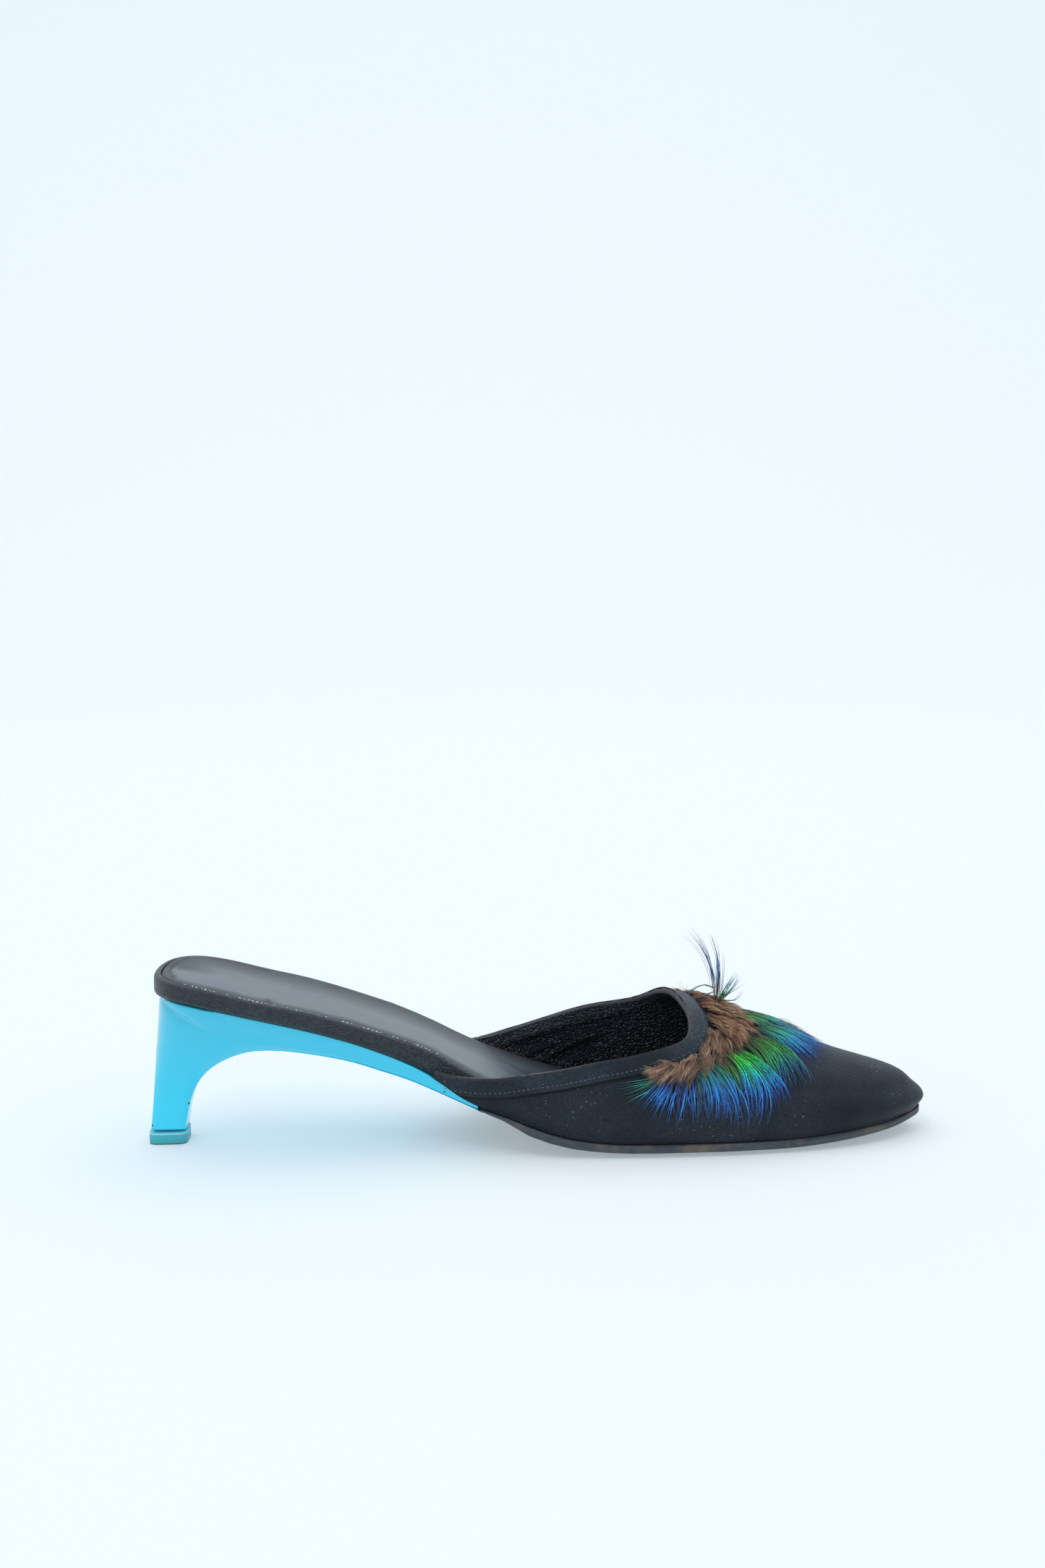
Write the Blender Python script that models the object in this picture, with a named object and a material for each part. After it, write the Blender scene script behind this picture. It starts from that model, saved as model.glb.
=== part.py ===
"""A feather-trimmed satin mule with a low lacquered heel, left shoe.

X runs from the heel to the toe, Y from the inner side to the outer side and Z up.
The origin lies on the floor under the middle of the top lift.
Sizes are in millimetres until a mesh is written, which is in metres.
"""

import math

import bmesh
import bpy
import numpy as np

MM = 0.001

# Driving dimensions
LENGTH = 253.2
SEAT_BACK = -3.2
BALL_WIDTH = 75.0
HEEL_HEIGHT = 52.6
INSTEP_HEIGHT = 44.0
TREAD_EDGE = 4.4
TOE_SPRING = 3.6
TOE_SPRING_START = 0.80
TOE_SPRING_CURVE = 1.6

# Walls, gaps and edges
GAP = 0.3
WALL = 1.6
SOLE_EDGE = 0.7
SOLE_THICK = 2.5
FOOTBED_ROUND = 1.4
FOOTBED_INSET = 0.2
WING_TUCK = 0.306
WING_TUCK_RUN = 0.052
TOE_TUCK = 0.94
RIM_WIDTH = 2.3
RECESS_DEPTH = 0.9
SOCK_THICK = 0.8
SOCK_INSET = 2.8
SOCK_ROUND = 0.4
BOARD_RINGS = 42

# Topline band
BAND_WIDTH = 6.2
BAND_THICK = 0.6

# Heel and top lift
LIFT_HEIGHT = 4.0
LIFT_LENGTH = 12.6
LIFT_WIDTH = 12.6
LIFT_CORNER = 2.6

# Feathers
TRIM_LOCKS = 15
TRIM_ROOT = 0.5

# The last, seat to toe: along is a share of the length, inner and outer are shares of the
# ball width, lift is a share of the heel height, board is the footbed's height in millimetres
# and crown is the height of the upper over its foot, as a share of the instep height.
LAST = (
    # along  inner  outer   lift  board  crown
    (0.000, 0.000, 0.000, 1.000, 5.4, 0.90),
    (0.010, -0.190, 0.200, 0.998, 5.5, 0.90),
    (0.040, -0.300, 0.308, 0.983, 5.6, 0.90),
    (0.080, -0.336, 0.338, 0.942, 5.8, 0.90),
    (0.140, -0.342, 0.342, 0.866, 5.5, 0.90),
    (0.200, -0.333, 0.333, 0.786, 5.7, 0.90),
    (0.260, -0.321, 0.321, 0.687, 5.8, 0.90),
    (0.320, -0.313, 0.315, 0.558, 6.5, 0.91),
    (0.360, -0.317, 0.323, 0.441, 7.5, 0.94),
    (0.400, -0.325, 0.341, 0.290, 8.7, 1.02),
    (0.430, -0.335, 0.375, 0.216, 7.9, 1.08),
    (0.460, -0.352, 0.427, 0.164, 6.3, 1.11),
    (0.500, -0.384, 0.499, 0.085, 5.1, 1.15),
    (0.550, -0.407, 0.560, 0.028, 3.7, 1.14),
    (0.600, -0.415, 0.587, 0.004, 3.0, 1.06),
    (0.630, -0.417, 0.590, 0.000, 2.8, 1.00),
    (0.660, -0.417, 0.586, 0.000, 2.7, 0.935),
    (0.720, -0.415, 0.560, 0.000, 2.7, 0.812),
    (0.780, -0.400, 0.500, 0.000, 2.7, 0.695),
    (0.840, -0.372, 0.418, 0.000, 2.7, 0.575),
    (0.900, -0.323, 0.308, 0.000, 2.7, 0.447),
    (0.950, -0.251, 0.190, 0.000, 2.7, 0.345),
    (0.980, -0.168, 0.080, 0.000, 2.7, 0.255),
    (1.000, -0.053, -0.053, 0.000, 2.7, 0.000),
)
ALONG, INNER, OUTER, LIFT, BOARD, CROWN = range(6)

# How square the upper's section is, along the shoe
SQUARENESS = ((0.0, 2.6), (0.70, 2.6), (0.90, 2.35), (1.0, 2.2))

# How far the upper swells past its foot, and up to which height, at places along the shoe
SWELL = ((0.0, 0.2, 16.0), (0.36, 0.2, 16.0), (0.46, 1.3, 16.0), (0.80, 1.3, 16.0), (1.0, 2.2, 8.0))

# The topline, from the inner wing round the throat to the outer wing. Turn is the angle round
# the section, 0 at the inner foot and 180 at the outer foot, and foot says where along the sole
# the upper's rib that starts at this point comes down.
TOPLINE = (
    # along  turn  foot
    (0.362, 1.5, 0.362),
    (0.380, 3.2, 0.380),
    (0.400, 5.6, 0.400),
    (0.425, 7.9, 0.425),
    (0.460, 11.2, 0.460),
    (0.500, 16.5, 0.500),
    (0.550, 22.9, 0.555),
    (0.600, 29.9, 0.620),
    (0.640, 36.8, 0.695),
    (0.672, 44.8, 0.775),
    (0.687, 53.5, 0.860),
    (0.692, 64.0, 0.945),
    (0.692, 77.0, 1.000),
    (0.686, 92.0, 0.945),
    (0.674, 111.0, 0.860),
    (0.656, 129.5, 0.775),
    (0.634, 140.0, 0.695),
    (0.600, 147.0, 0.620),
    (0.550, 155.2, 0.555),
    (0.500, 162.6, 0.500),
    (0.460, 168.4, 0.460),
    (0.425, 172.6, 0.425),
    (0.400, 175.0, 0.400),
    (0.380, 176.8, 0.380),
    (0.362, 178.5, 0.362),
)
TIP_ROW = 12
RIBS_PER_ROW = 2
RIB_POINTS = 14
RIB_STEPS = 160

# The outsole from the end of its tongue to the toe: share is its width over the outline's,
# drop is how far its top lies under the last's underside, thick is its edge and belly is how
# much lower its middle is than its edge.
SOLE = (
    # along  share  drop  thick  belly
    (0.345, 0.08, 6.4, 0.4, 0.0),
    (0.350, 0.34, 6.2, 0.4, 0.0),
    (0.362, 0.56, 5.6, 0.4, 0.0),
    (0.385, 0.64, 3.9, 0.4, 0.0),
    (0.400, 0.68, 2.9, 0.4, 0.0),
    (0.4195, 0.80, 2.3, 0.5, 0.0),
    (0.425, 0.96, 0.6, 0.6, 0.0),
    (0.431, 1.00, GAP, 0.8, 0.0),
    (0.447, 1.00, GAP, 1.1, 0.1),
    (0.463, 1.00, GAP, 2.0, 0.3),
    (0.478, 1.00, GAP, 2.7, 0.5),
    (0.520, 1.00, GAP, 2.7, 1.0),
    (0.600, 1.00, GAP, SOLE_THICK, TREAD_EDGE - GAP - SOLE_THICK),
    (0.800, 1.00, GAP, SOLE_THICK, TREAD_EDGE - GAP - SOLE_THICK),
    (0.920, 1.00, GAP, 2.2, 1.1),
    (1.000, 1.00, GAP, 1.8, 0.6),
)
SHARE, DROP, THICK, BELLY = range(1, 5)
SOLE_FLAT = 0.45
TONGUE_END = 0.455

# The heel as a fan of sections, from the top lift up the post and forward along the arm.
# Each runs from a front or under point to a back or top point. The widths are half widths:
# front at the first point, near just behind it, full at its widest and back at the last point.
# A height of None stands for the underside of the last over that place.
HEEL = (
    # front x  front z  back x  back z  front  near  full  back  round
    (5.9, 4.3, -5.6, 4.3, 4.6, 6.0, 6.0, 4.2, 0.72),
    (6.7, 9.5, -4.9, 10.5, 4.9, 6.4, 6.6, 4.4, 0.68),
    (8.0, 14.6, -4.0, 19.0, 5.4, 7.3, 8.0, 4.6, 0.60),
    (10.2, 19.9, -3.2, 28.0, 6.2, 8.8, 10.8, 4.4, 0.52),
    (13.6, 24.5, -2.6, 36.0, 7.4, 11.0, 14.8, 4.0, 0.44),
    (18.2, 28.2, -2.0, 43.5, 9.0, 13.6, 19.4, 3.2, 0.36),
    (23.2, 30.9, -1.5, 49.0, 10.8, 15.8, 22.8, 2.2, 0.30),
    (27.6, 32.5, -1.1, None, 12.2, 17.2, 24.0, 1.6, 0.28),
    (31.4, 33.3, 1.2, None, 13.2, 18.0, 24.4, 13.6, 0.30),
    (35.4, 33.6, 7.0, None, 14.0, 18.6, 24.6, 20.4, 0.40),
    (40.2, 33.5, 16.4, None, 14.6, 19.0, 24.4, 24.0, 0.60),
    (46.0, 32.9, 30.0, None, 15.2, 19.2, 24.6, 24.6, 0.60),
    (54.0, 31.6, 45.0, None, 15.6, 19.4, 24.1, 24.1, 0.60),
    (62.5, 29.7, 59.0, None, 16.0, 19.4, 23.3, 23.3, 0.60),
    (71.0, 26.9, 70.0, None, 16.4, 19.6, 22.9, 22.9, 0.60),
    (80.0, 23.9, 80.0, None, 17.0, 20.2, 22.7, 22.7, 0.60),
    (90.0, 19.7, 90.0, None, 18.2, 21.2, 22.9, 22.9, 0.60),
    (98.0, 16.2, 98.0, None, 19.6, 22.0, 23.2, 23.2, 0.60),
    (102.8, 14.2, 102.8, None, 20.6, 22.6, 23.4, 23.4, 0.60),
)
HEEL_FRONT_ROUND = 0.22
HEEL_STEPS = 2
HEEL_SIDE_POINTS = 10

# The spray of feathers: where it starts and ends round the throat, counted in topline rows,
# and how long its locks are on the way.
TRIM_LENGTHS = (
    # row  length
    (6.8, 11.0),
    (8.0, 19.0),
    (8.6, 22.0),
    (9.2, 29.0),
    (10.0, 31.0),
    (11.0, 33.0),
    (12.0, 39.0),
    (13.0, 36.0),
    (14.0, 27.0),
    (15.6, 13.0),
)
LOCK_SHAPE = ((0.60, 0.55), (0.86, 0.85), (1.00, 1.00), (0.86, 0.85))
LOCK_SPREAD = 0.10
TRIM_MARKS = (0.0, 0.10, 0.28, 0.50, 0.76, 1.0)
TRIM_THICKS = (1.0, 3.2, 2.3, 1.6, 1.1, 0.5)

# The standing feathers: root and tip, stepped from the middle of the tuft's root, and radius
TUFT_ALONG = 0.735
TUFT_PLUMES = (
    # root x  root y  tip x  tip y  tip up  radius
    (-1.1, -0.5, -9.5, -2.0, 21.0, 1.9),
    (-0.3, 0.9, -1.5, 1.5, 22.5, 2.0),
    (0.5, -1.0, 3.0, -2.0, 17.0, 1.7),
    (1.4, 0.5, 9.5, 2.0, 9.5, 1.6),
    (-1.5, 1.2, -5.5, 4.0, 11.0, 1.5),
)
TUFT_TIP_RADIUS = 0.45
TUFT_POINTS = 7
TUFT_STEM = 1.5
TUFT_LIFT = 3.7


def clear_scene():
    """Removes every object, so that the file starts empty."""
    for item in list(bpy.data.objects):
        bpy.data.objects.remove(item, do_unlink=True)


def new_collection(name):
    """Makes a collection in the scene."""
    group = bpy.data.collections.new(name)
    bpy.context.scene.collection.children.link(group)
    return group


def linear(hex_colour):
    """Turns an sRGB hex colour into linear values."""
    values = []
    for start in (1, 3, 5):
        part = int(hex_colour[start:start + 2], 16) / 255
        values.append(part / 12.92 if part <= 0.04045 else ((part + 0.055) / 1.055) ** 2.4)
    return (*values, 1.0)


def finish_of(name, hex_colour, roughness):
    """Makes a Principled material."""
    material = bpy.data.materials.new(name)
    material.use_nodes = True
    shader = material.node_tree.nodes["Principled BSDF"]
    shader.inputs["Base Color"].default_value = linear(hex_colour)
    shader.inputs["Roughness"].default_value = roughness
    return material


def monotone(places, values, at):
    """Reads a smooth curve through the rows that never swings past them."""
    places = np.asarray(places, float)
    values = np.asarray(values, float)
    at = np.clip(np.asarray(at, float), places[0], places[-1])
    step = np.diff(places)
    slope = np.diff(values) / step
    tangent = np.zeros(len(places))
    tangent[0] = slope[0]
    tangent[-1] = slope[-1]
    for row in range(1, len(places) - 1):
        if slope[row - 1] * slope[row] > 0:
            first = 2 * step[row] + step[row - 1]
            second = step[row] + 2 * step[row - 1]
            tangent[row] = (first + second) / (first / slope[row - 1] + second / slope[row])
    row = np.clip(np.searchsorted(places, at, side="right") - 1, 0, len(step) - 1)
    share = (at - places[row]) / step[row]
    rise = share * share * (3 - 2 * share)
    start = share * (1 - share) ** 2 * step[row] * tangent[row]
    end = share * share * (share - 1) * step[row] * tangent[row + 1]
    return values[row] + rise * (values[row + 1] - values[row]) + start + end


def through(rows, at):
    """Reads a Catmull-Rom curve through rows of numbers, where at counts rows from 0."""
    rows = np.asarray(rows, float)
    before = np.vstack((2 * rows[0] - rows[1], rows, 2 * rows[-1] - rows[-2]))
    row = np.clip(np.floor(at).astype(int), 0, len(rows) - 2)
    share = (at - row)[:, None]
    a, b, c, d = (before[row + step] for step in range(4))
    return 0.5 * (
        2 * b
        + (c - a) * share
        + (2 * a - 5 * b + 4 * c - d) * share ** 2
        + (3 * b - a - 3 * c + d) * share ** 3
    )


def round_place(along):
    """Spreads places along the shoe so that outlines read against it come out round at both ends."""
    return np.arccos(1 - 2 * np.clip(along, 0, 1))


LAST_PLACES = [float(round_place(row[ALONG])) for row in LAST]


def last(column, along):
    """Reads one column of the last's table at places along the shoe."""
    return monotone(LAST_PLACES, [row[column] for row in LAST], round_place(along))


def sole(column, along):
    """Reads one column of the outsole's table."""
    return monotone([row[0] for row in SOLE], [row[column] for row in SOLE], along)


def x_of(along):
    return SEAT_BACK + LENGTH * np.asarray(along)


def along_of(x):
    return (np.asarray(x) - SEAT_BACK) / LENGTH


def under(along):
    """Height of the last's underside, which the footbed stands on and the heel's arm follows."""
    toe = np.clip((np.asarray(along) - TOE_SPRING_START) / (1 - TOE_SPRING_START), 0, 1)
    lift = last(LIFT, along) * (HEEL_HEIGHT - TREAD_EDGE)
    return TREAD_EDGE + lift + TOE_SPRING * toe ** TOE_SPRING_CURVE


def outline(along, side):
    """A point of the last's plan outline, side -1 for the inner edge and 1 for the outer."""
    share = last(INNER if side < 0 else OUTER, along)
    return np.stack((x_of(along), share * BALL_WIDTH), axis=-1)


def outline_normal(along, side):
    """The direction that points out of the outline in plan."""
    place = round_place(along)
    nudge = 0.01
    ahead = outline((1 - np.cos(np.minimum(place + nudge, math.pi))) / 2, side)
    behind = outline((1 - np.cos(np.maximum(place - nudge, 0))) / 2, side)
    run = ahead - behind
    normal = np.stack((-run[..., 1], run[..., 0]), axis=-1) * side
    return normal / np.linalg.norm(normal, axis=-1, keepdims=True)


def edge(along, side, inset):
    """A point of the outline moved in by a distance."""
    return outline(along, side) - outline_normal(along, side) * np.asarray(inset)[..., None]


def squareness(along):
    return monotone([row[0] for row in SQUARENESS], [row[1] for row in SQUARENESS], along)


def section(along):
    """Middle, half width, height and squareness of the upper's section."""
    inner = last(INNER, along) * BALL_WIDTH
    outer = last(OUTER, along) * BALL_WIDTH
    height = last(CROWN, along) * INSTEP_HEIGHT
    return (inner + outer) / 2, (outer - inner) / 2, height, squareness(along)


def upper_height(x, y):
    """Height of the upper's outer face over a point of the plan."""
    along = along_of(x)
    middle, half, height, power = section(along)
    share = np.clip(np.abs(y - middle) / np.maximum(half, 1e-6), 0, 1)
    return under(along) + height * (1 - share ** power) ** (1 / power)


def topline_plan(along, turn):
    """Plan position of a point of the topline."""
    middle, half, _, power = section(along)
    cosine = np.cos(np.radians(turn))
    return np.stack((x_of(along), middle - half * np.sign(cosine) * np.abs(cosine) ** (2 / power)), -1)


def ribs():
    """The upper's ribs: fine curves from the topline down to the foot, and their outward directions."""
    rows = np.asarray(TOPLINE, float)
    signs = np.where(np.arange(len(rows)) < TIP_ROW, -1.0, 1.0)
    foot_place = signs * np.sqrt(1 - rows[:, 2])
    table = np.column_stack((rows[:, 0], rows[:, 1], foot_place))
    count = (len(rows) - 1) * RIBS_PER_ROW + 1
    at = np.linspace(0, len(rows) - 1, count)
    fine = through(table, at)
    top = topline_plan(fine[:, 0], fine[:, 1])
    foot_along = 1 - fine[:, 2] ** 2
    found = []
    for number in range(count):
        side = -1 if fine[number, 2] < 0 else 1
        along = foot_along[number]
        foot = outline(along, side)
        out = outline_normal(along, side)
        if abs(fine[number, 2]) < 1e-6:
            out = np.array((1.0, 0.0))
        share = np.sin(np.linspace(0, math.pi / 2, RIB_STEPS))[:, None]
        plan = top[number] + (foot - top[number]) * share
        height = upper_height(plan[:, 0], plan[:, 1])
        height[-1] = under(along)
        found.append((np.column_stack((plan, height)), out))
    return found


def swell(curve, out):
    """Lets the upper swell a little past the sole, low on its sides and round its toe."""
    table = np.asarray(SWELL)
    foot_along = along_of(curve[-1, 0])
    reach = monotone(table[:, 0], table[:, 1], foot_along)
    height = monotone(table[:, 0], table[:, 2], foot_along)
    share = np.clip((curve[:, 2] - curve[-1, 2]) / height, 0, 1)
    moved = curve.copy()
    moved[:, :2] += out * (reach * np.sin(math.pi * share))[:, None]
    return moved


def measure(curve):
    """Length run along a curve, with its turns counted too, so that bends get more points."""
    run = np.diff(curve, axis=0)
    length = np.linalg.norm(run, axis=1)
    heading = run / np.maximum(length, 1e-9)[:, None]
    turn = np.zeros(len(length))
    cosine = np.clip((heading[1:] * heading[:-1]).sum(1), -1, 1)
    turn[1:] = np.arccos(cosine)
    total = np.concatenate(((0.0,), np.cumsum(length / length.sum() + 0.9 * turn / max(turn.sum(), 1e-6))))
    return total / total[-1]


def travelled(curve):
    """Distance run along a curve."""
    return np.concatenate(((0.0,), np.cumsum(np.linalg.norm(np.diff(curve, axis=0), axis=1))))


def read_curve(curve, ruler, marks):
    """Points of a curve where its ruler reads the marks."""
    return np.column_stack([np.interp(marks, ruler, curve[:, axis]) for axis in range(3)])


def grid_normals(grid):
    """Outward directions of a grid of points, ribs by rows."""
    across = np.gradient(grid, axis=0)
    down = np.gradient(grid, axis=1)
    normal = np.cross(down, across)
    return normal / np.maximum(np.linalg.norm(normal, axis=2, keepdims=True), 1e-9)


def upper_form():
    """The upper's ribs, swollen, as fine curves."""
    return [swell(curve, out) for curve, out in ribs()]


def write_mesh(name, points, faces, material, group, smooth_angle=40):
    """Writes points in millimetres and their faces as an object, faces out."""
    mesh = bpy.data.meshes.new(name)
    mesh.from_pydata([tuple(float(v) * MM for v in point) for point in points], [], faces)
    shape = bmesh.new()
    shape.from_mesh(mesh)
    bmesh.ops.recalc_face_normals(shape, faces=shape.faces)
    shape.to_mesh(mesh)
    shape.free()
    mesh.materials.append(material)
    mesh.shade_smooth()
    mesh.set_sharp_from_angle(angle=math.radians(smooth_angle))
    item = bpy.data.objects.new(name, mesh)
    group.objects.link(item)
    return item


def loft(name, rings, material, group):
    """Closes a row of like rings into one solid. A ring runs up one half and back down the other,
    so that each end closes with strips between its two halves."""
    size = len(rings[0])
    points = [point for ring in rings for point in ring]
    faces = []
    for row in range(len(rings) - 1):
        low = row * size
        for place in range(size):
            after = (place + 1) % size
            faces.append((low + place, low + after, low + size + after, low + size + place))
    for low in (0, len(points) - size):
        for place in range((size - 1) // 2):
            strip = (place, place + 1, size - 2 - place, size - 1 - place)
            faces.append(tuple(dict.fromkeys(low + corner for corner in strip)))
    return write_mesh(name, points, faces, material, group)


def shell(name, outer, inner, material, group):
    """Closes two like grids, an outer and an inner face, into one wall."""
    ribs_count, row_count = outer.shape[:2]
    points = [*outer.reshape(-1, 3), *inner.reshape(-1, 3)]
    far = ribs_count * row_count
    faces = []
    for rib in range(ribs_count - 1):
        for row in range(row_count - 1):
            a = rib * row_count + row
            b = a + row_count
            faces.append((a, a + 1, b + 1, b))
            faces.append((far + a, far + b, far + b + 1, far + a + 1))
    rim = [rib * row_count for rib in range(ribs_count)]
    rim += [(ribs_count - 1) * row_count + row for row in range(1, row_count)]
    rim += [rib * row_count + row_count - 1 for rib in range(ribs_count - 2, -1, -1)]
    rim += [row for row in range(row_count - 2, 0, -1)]
    for place, point in enumerate(rim):
        after = rim[(place + 1) % len(rim)]
        faces.append((point, after, far + after, far + point))
    return write_mesh(name, points, faces, material, group)


def make_upper(form, material, group):
    """The satin upper: one wall, open at the throat, the back and underneath."""
    marks = np.linspace(0, 1, RIB_POINTS)
    outer = np.stack([read_curve(curve, measure(curve), marks) for curve in form])
    inner = outer - grid_normals(outer) * WALL
    inner[:, -1, 2] = outer[:, -1, 2]
    return shell("upper", outer, inner, material, group)


def band_ends(form):
    """How far along each rib the topline band reaches, measured square to the topline."""
    topline = np.stack([curve[0] for curve in form])
    fine = through(topline, np.linspace(0, len(form) - 1, 8 * len(form)))
    reach = []
    for curve in form:
        gap = np.linalg.norm(curve[:, None, :] - fine[None], axis=2).min(axis=1)
        ruler = travelled(curve)
        inside = np.nonzero(gap < BAND_WIDTH)[0][-1]
        reach.append(min(ruler[inside], ruler[-1] - 1.0))
    return np.array(reach)


def make_band(form, reach, material, group):
    """The topline band: a thin strip over the upper's edge."""
    shares = np.array((0.0, 0.5, 1.0))
    face = np.stack([
        read_curve(curve, travelled(curve), shares * end) for curve, end in zip(form, reach)
    ])
    normal = grid_normals(face)
    return shell("topline_band", face + normal * (GAP + BAND_THICK), face + normal * GAP, material, group)


def board_ring(along, profile, low):
    """A ring across the shoe from half a profile of insets and heights, the same on both edges."""
    halves = []
    for side in (-1, 1):
        halves.append([(*edge(along, side, inset), low + up) for inset, up in profile])
    left, right = halves
    middle = (np.asarray(left[-1]) + np.asarray(right[-1])) / 2
    return [*left, tuple(middle), *reversed(right)]


def places(first, last_place, count):
    """Places along the shoe, closer together at its round ends."""
    turns = np.linspace(float(round_place(first)), float(round_place(last_place)), count)
    return (1 - np.cos(turns)) / 2


def footbed_inset(along):
    """The footbed shows its edge behind the wings and stands inside the upper's wall from there."""
    tuck = np.clip((along - WING_TUCK) / WING_TUCK_RUN, 0, 1)
    toe = np.clip((along - TOE_TUCK) / (1 - TOE_TUCK), 0, 1)
    return FOOTBED_INSET + (WALL + GAP) * tuck * tuck * (3 - 2 * tuck) + toe * toe


def board_places():
    """Places of the footbed's and the sock's rings, with a few more where the footbed tucks in."""
    tuck = WING_TUCK + WING_TUCK_RUN * np.array((0, 0.5, 1))
    return np.unique(np.concatenate((places(0.0006, 0.9992, BOARD_RINGS), tuck)))


def make_footbed(material, group):
    """The leather-covered insole board, with a rim round the recess that its sock lies in."""
    rings = []
    for along in board_places():
        inset = footbed_inset(along)
        tall = last(BOARD, along)
        profile = (
            (inset, 0.0),
            (inset, tall - FOOTBED_ROUND),
            (inset + 0.3 * FOOTBED_ROUND, tall - 0.3 * FOOTBED_ROUND),
            (inset + FOOTBED_ROUND, tall),
            (inset + RIM_WIDTH, tall),
            (inset + RIM_WIDTH + 0.1, tall - RECESS_DEPTH),
        )
        rings.append(board_ring(along, profile, float(under(along))))
    return loft("footbed", rings, material, group)


def make_sock(material, group):
    """The smooth leather sheet in the footbed's recess."""
    rings = []
    for along in board_places():
        inset = footbed_inset(along) + SOCK_INSET
        low = float(under(along)) + last(BOARD, along) - RECESS_DEPTH + GAP
        profile = (
            (inset, 0.0),
            (inset, SOCK_THICK - SOCK_ROUND),
            (inset + SOCK_ROUND, SOCK_THICK),
        )
        rings.append(board_ring(along, profile, low))
    return loft("sock", rings, material, group)


def make_outsole(material, group):
    """The leather outsole: flat where it treads, with a tongue that laps under the heel's arm."""
    across = (-1.0, -0.78, -SOLE_FLAT, 0.0, SOLE_FLAT, 0.78, 1.0)
    rings = []
    tongue = [row[0] for row in SOLE if row[0] < TONGUE_END]
    for along in np.concatenate((tongue, places(TONGUE_END, 0.9996, 32))):
        proud = SOLE_EDGE * (1 - along ** 8)
        left = edge(along, -1, -proud)
        right = edge(along, 1, -proud)
        middle = (left + right) / 2
        half = (right - left) / 2 * sole(SHARE, along)
        top = float(under(along) - sole(DROP, along))
        bottom = top - sole(THICK, along)
        ring = [(*(middle + half * share), top) for share in across]
        for share in reversed(across):
            rise = max(abs(share) - SOLE_FLAT, 0) / (1 - SOLE_FLAT)
            belly = sole(BELLY, along) * (1 - rise * rise)
            ring.append((*(middle + half * share), bottom - belly))
        rings.append(ring)
    return loft("outsole", rings, material, group)


def heel_ring(row):
    """One section of the heel's fan."""
    front_x, front_z, back_x, back_z, front, near, full, back, back_round = row
    marks = (1 - np.cos(np.linspace(0, math.pi, HEEL_SIDE_POINTS))) / 2
    side = []
    for mark in marks:
        grown = near + (full - near) * mark * mark * (3 - 2 * mark)
        lead = max(0.0, 1 - mark / HEEL_FRONT_ROUND)
        width = grown - (near - front) * (1 - math.sqrt(1 - lead * lead))
        tail = max(0.0, (mark - back_round) / (1 - back_round))
        width -= (full - back) * (1 - math.sqrt(max(0.0, 1 - tail * tail)))
        side.append((front_x + (back_x - front_x) * mark, width, front_z + (back_z - front_z) * mark))
    return side + [(x, -y, z) for x, y, z in reversed(side)]


def make_heel(material, group):
    """The moulded heel: post and arm in one."""
    rows = []
    for row in HEEL:
        top = float(under(along_of(row[2]))) - GAP if row[3] is None else row[3]
        rows.append((*row[:3], top, *row[4:]))
    at = np.linspace(0, len(rows) - 1, (len(rows) - 1) * HEEL_STEPS + 1)
    fine = through(rows, at)
    for row in fine:
        if row[3] > 48:
            row[3] = min(row[3], float(under(along_of(row[2]))) - GAP)
    fine[-1] = rows[-1]
    return loft("heel", [heel_ring(row) for row in fine], material, group)


def make_top_lift(material, group):
    """The rubber wear piece under the post: a block with rounded corners."""
    bpy.ops.mesh.primitive_cube_add(size=1)
    block = bpy.context.object
    block.name = "top_lift"
    block.data.name = "top_lift"
    block.dimensions = (LIFT_LENGTH * MM, LIFT_WIDTH * MM, LIFT_HEIGHT * MM)
    block.location = (0, 0, LIFT_HEIGHT / 2 * MM)
    bpy.ops.object.transform_apply(location=False, rotation=False, scale=True)
    shape = bmesh.new()
    shape.from_mesh(block.data)
    upright = [
        line for line in shape.edges
        if abs(line.verts[0].co.z - line.verts[1].co.z) > LIFT_HEIGHT * MM / 2
    ]
    bmesh.ops.bevel(
        shape, geom=upright, offset=LIFT_CORNER * MM, segments=4, profile=0.5, affect="EDGES"
    )
    shape.to_mesh(block.data)
    shape.free()
    block.data.materials.append(material)
    for owner in list(block.users_collection):
        owner.objects.unlink(block)
    group.objects.link(block)
    return block


def rib_between(form, at):
    """A rib read between two of the form's ribs, counted in topline rows."""
    place = at * RIBS_PER_ROW
    low = min(int(place), len(form) - 2)
    share = place - low
    return form[low] * (1 - share) + form[low + 1] * share


def make_trim(form, reach, material, group):
    """The spray that lies on the vamp: a downy root along the band and locks that thin to tips."""
    table = np.asarray(TRIM_LENGTHS)
    columns = TRIM_LOCKS * len(LOCK_SHAPE) + 1
    rows = np.linspace(table[0, 0], table[-1, 0], columns)
    lengths = monotone(table[:, 0], table[:, 1], rows)
    uneven = np.random.default_rng(7).uniform(-LOCK_SPREAD, LOCK_SPREAD, TRIM_LOCKS + 1)
    marks = np.asarray(TRIM_MARKS)
    face = []
    thicks = []
    for number, row in enumerate(rows):
        curve = rib_between(form, row)
        long_share, thick_share = LOCK_SHAPE[number % len(LOCK_SHAPE)]
        long_share += uneven[number // len(LOCK_SHAPE)]
        start = np.interp(row * RIBS_PER_ROW, np.arange(len(reach)), reach) + TRIM_ROOT
        face.append(read_curve(curve, travelled(curve), start + lengths[number] * long_share * marks))
        thicks.append(np.asarray(TRIM_THICKS) * (thick_share + (1 - thick_share) * (1 - marks) ** 2))
    face = np.stack(face)
    normal = grid_normals(face)
    outer = face + normal * (GAP + np.stack(thicks)[..., None])
    return shell("feather_trim", outer, face + normal * GAP, material, group)


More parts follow.
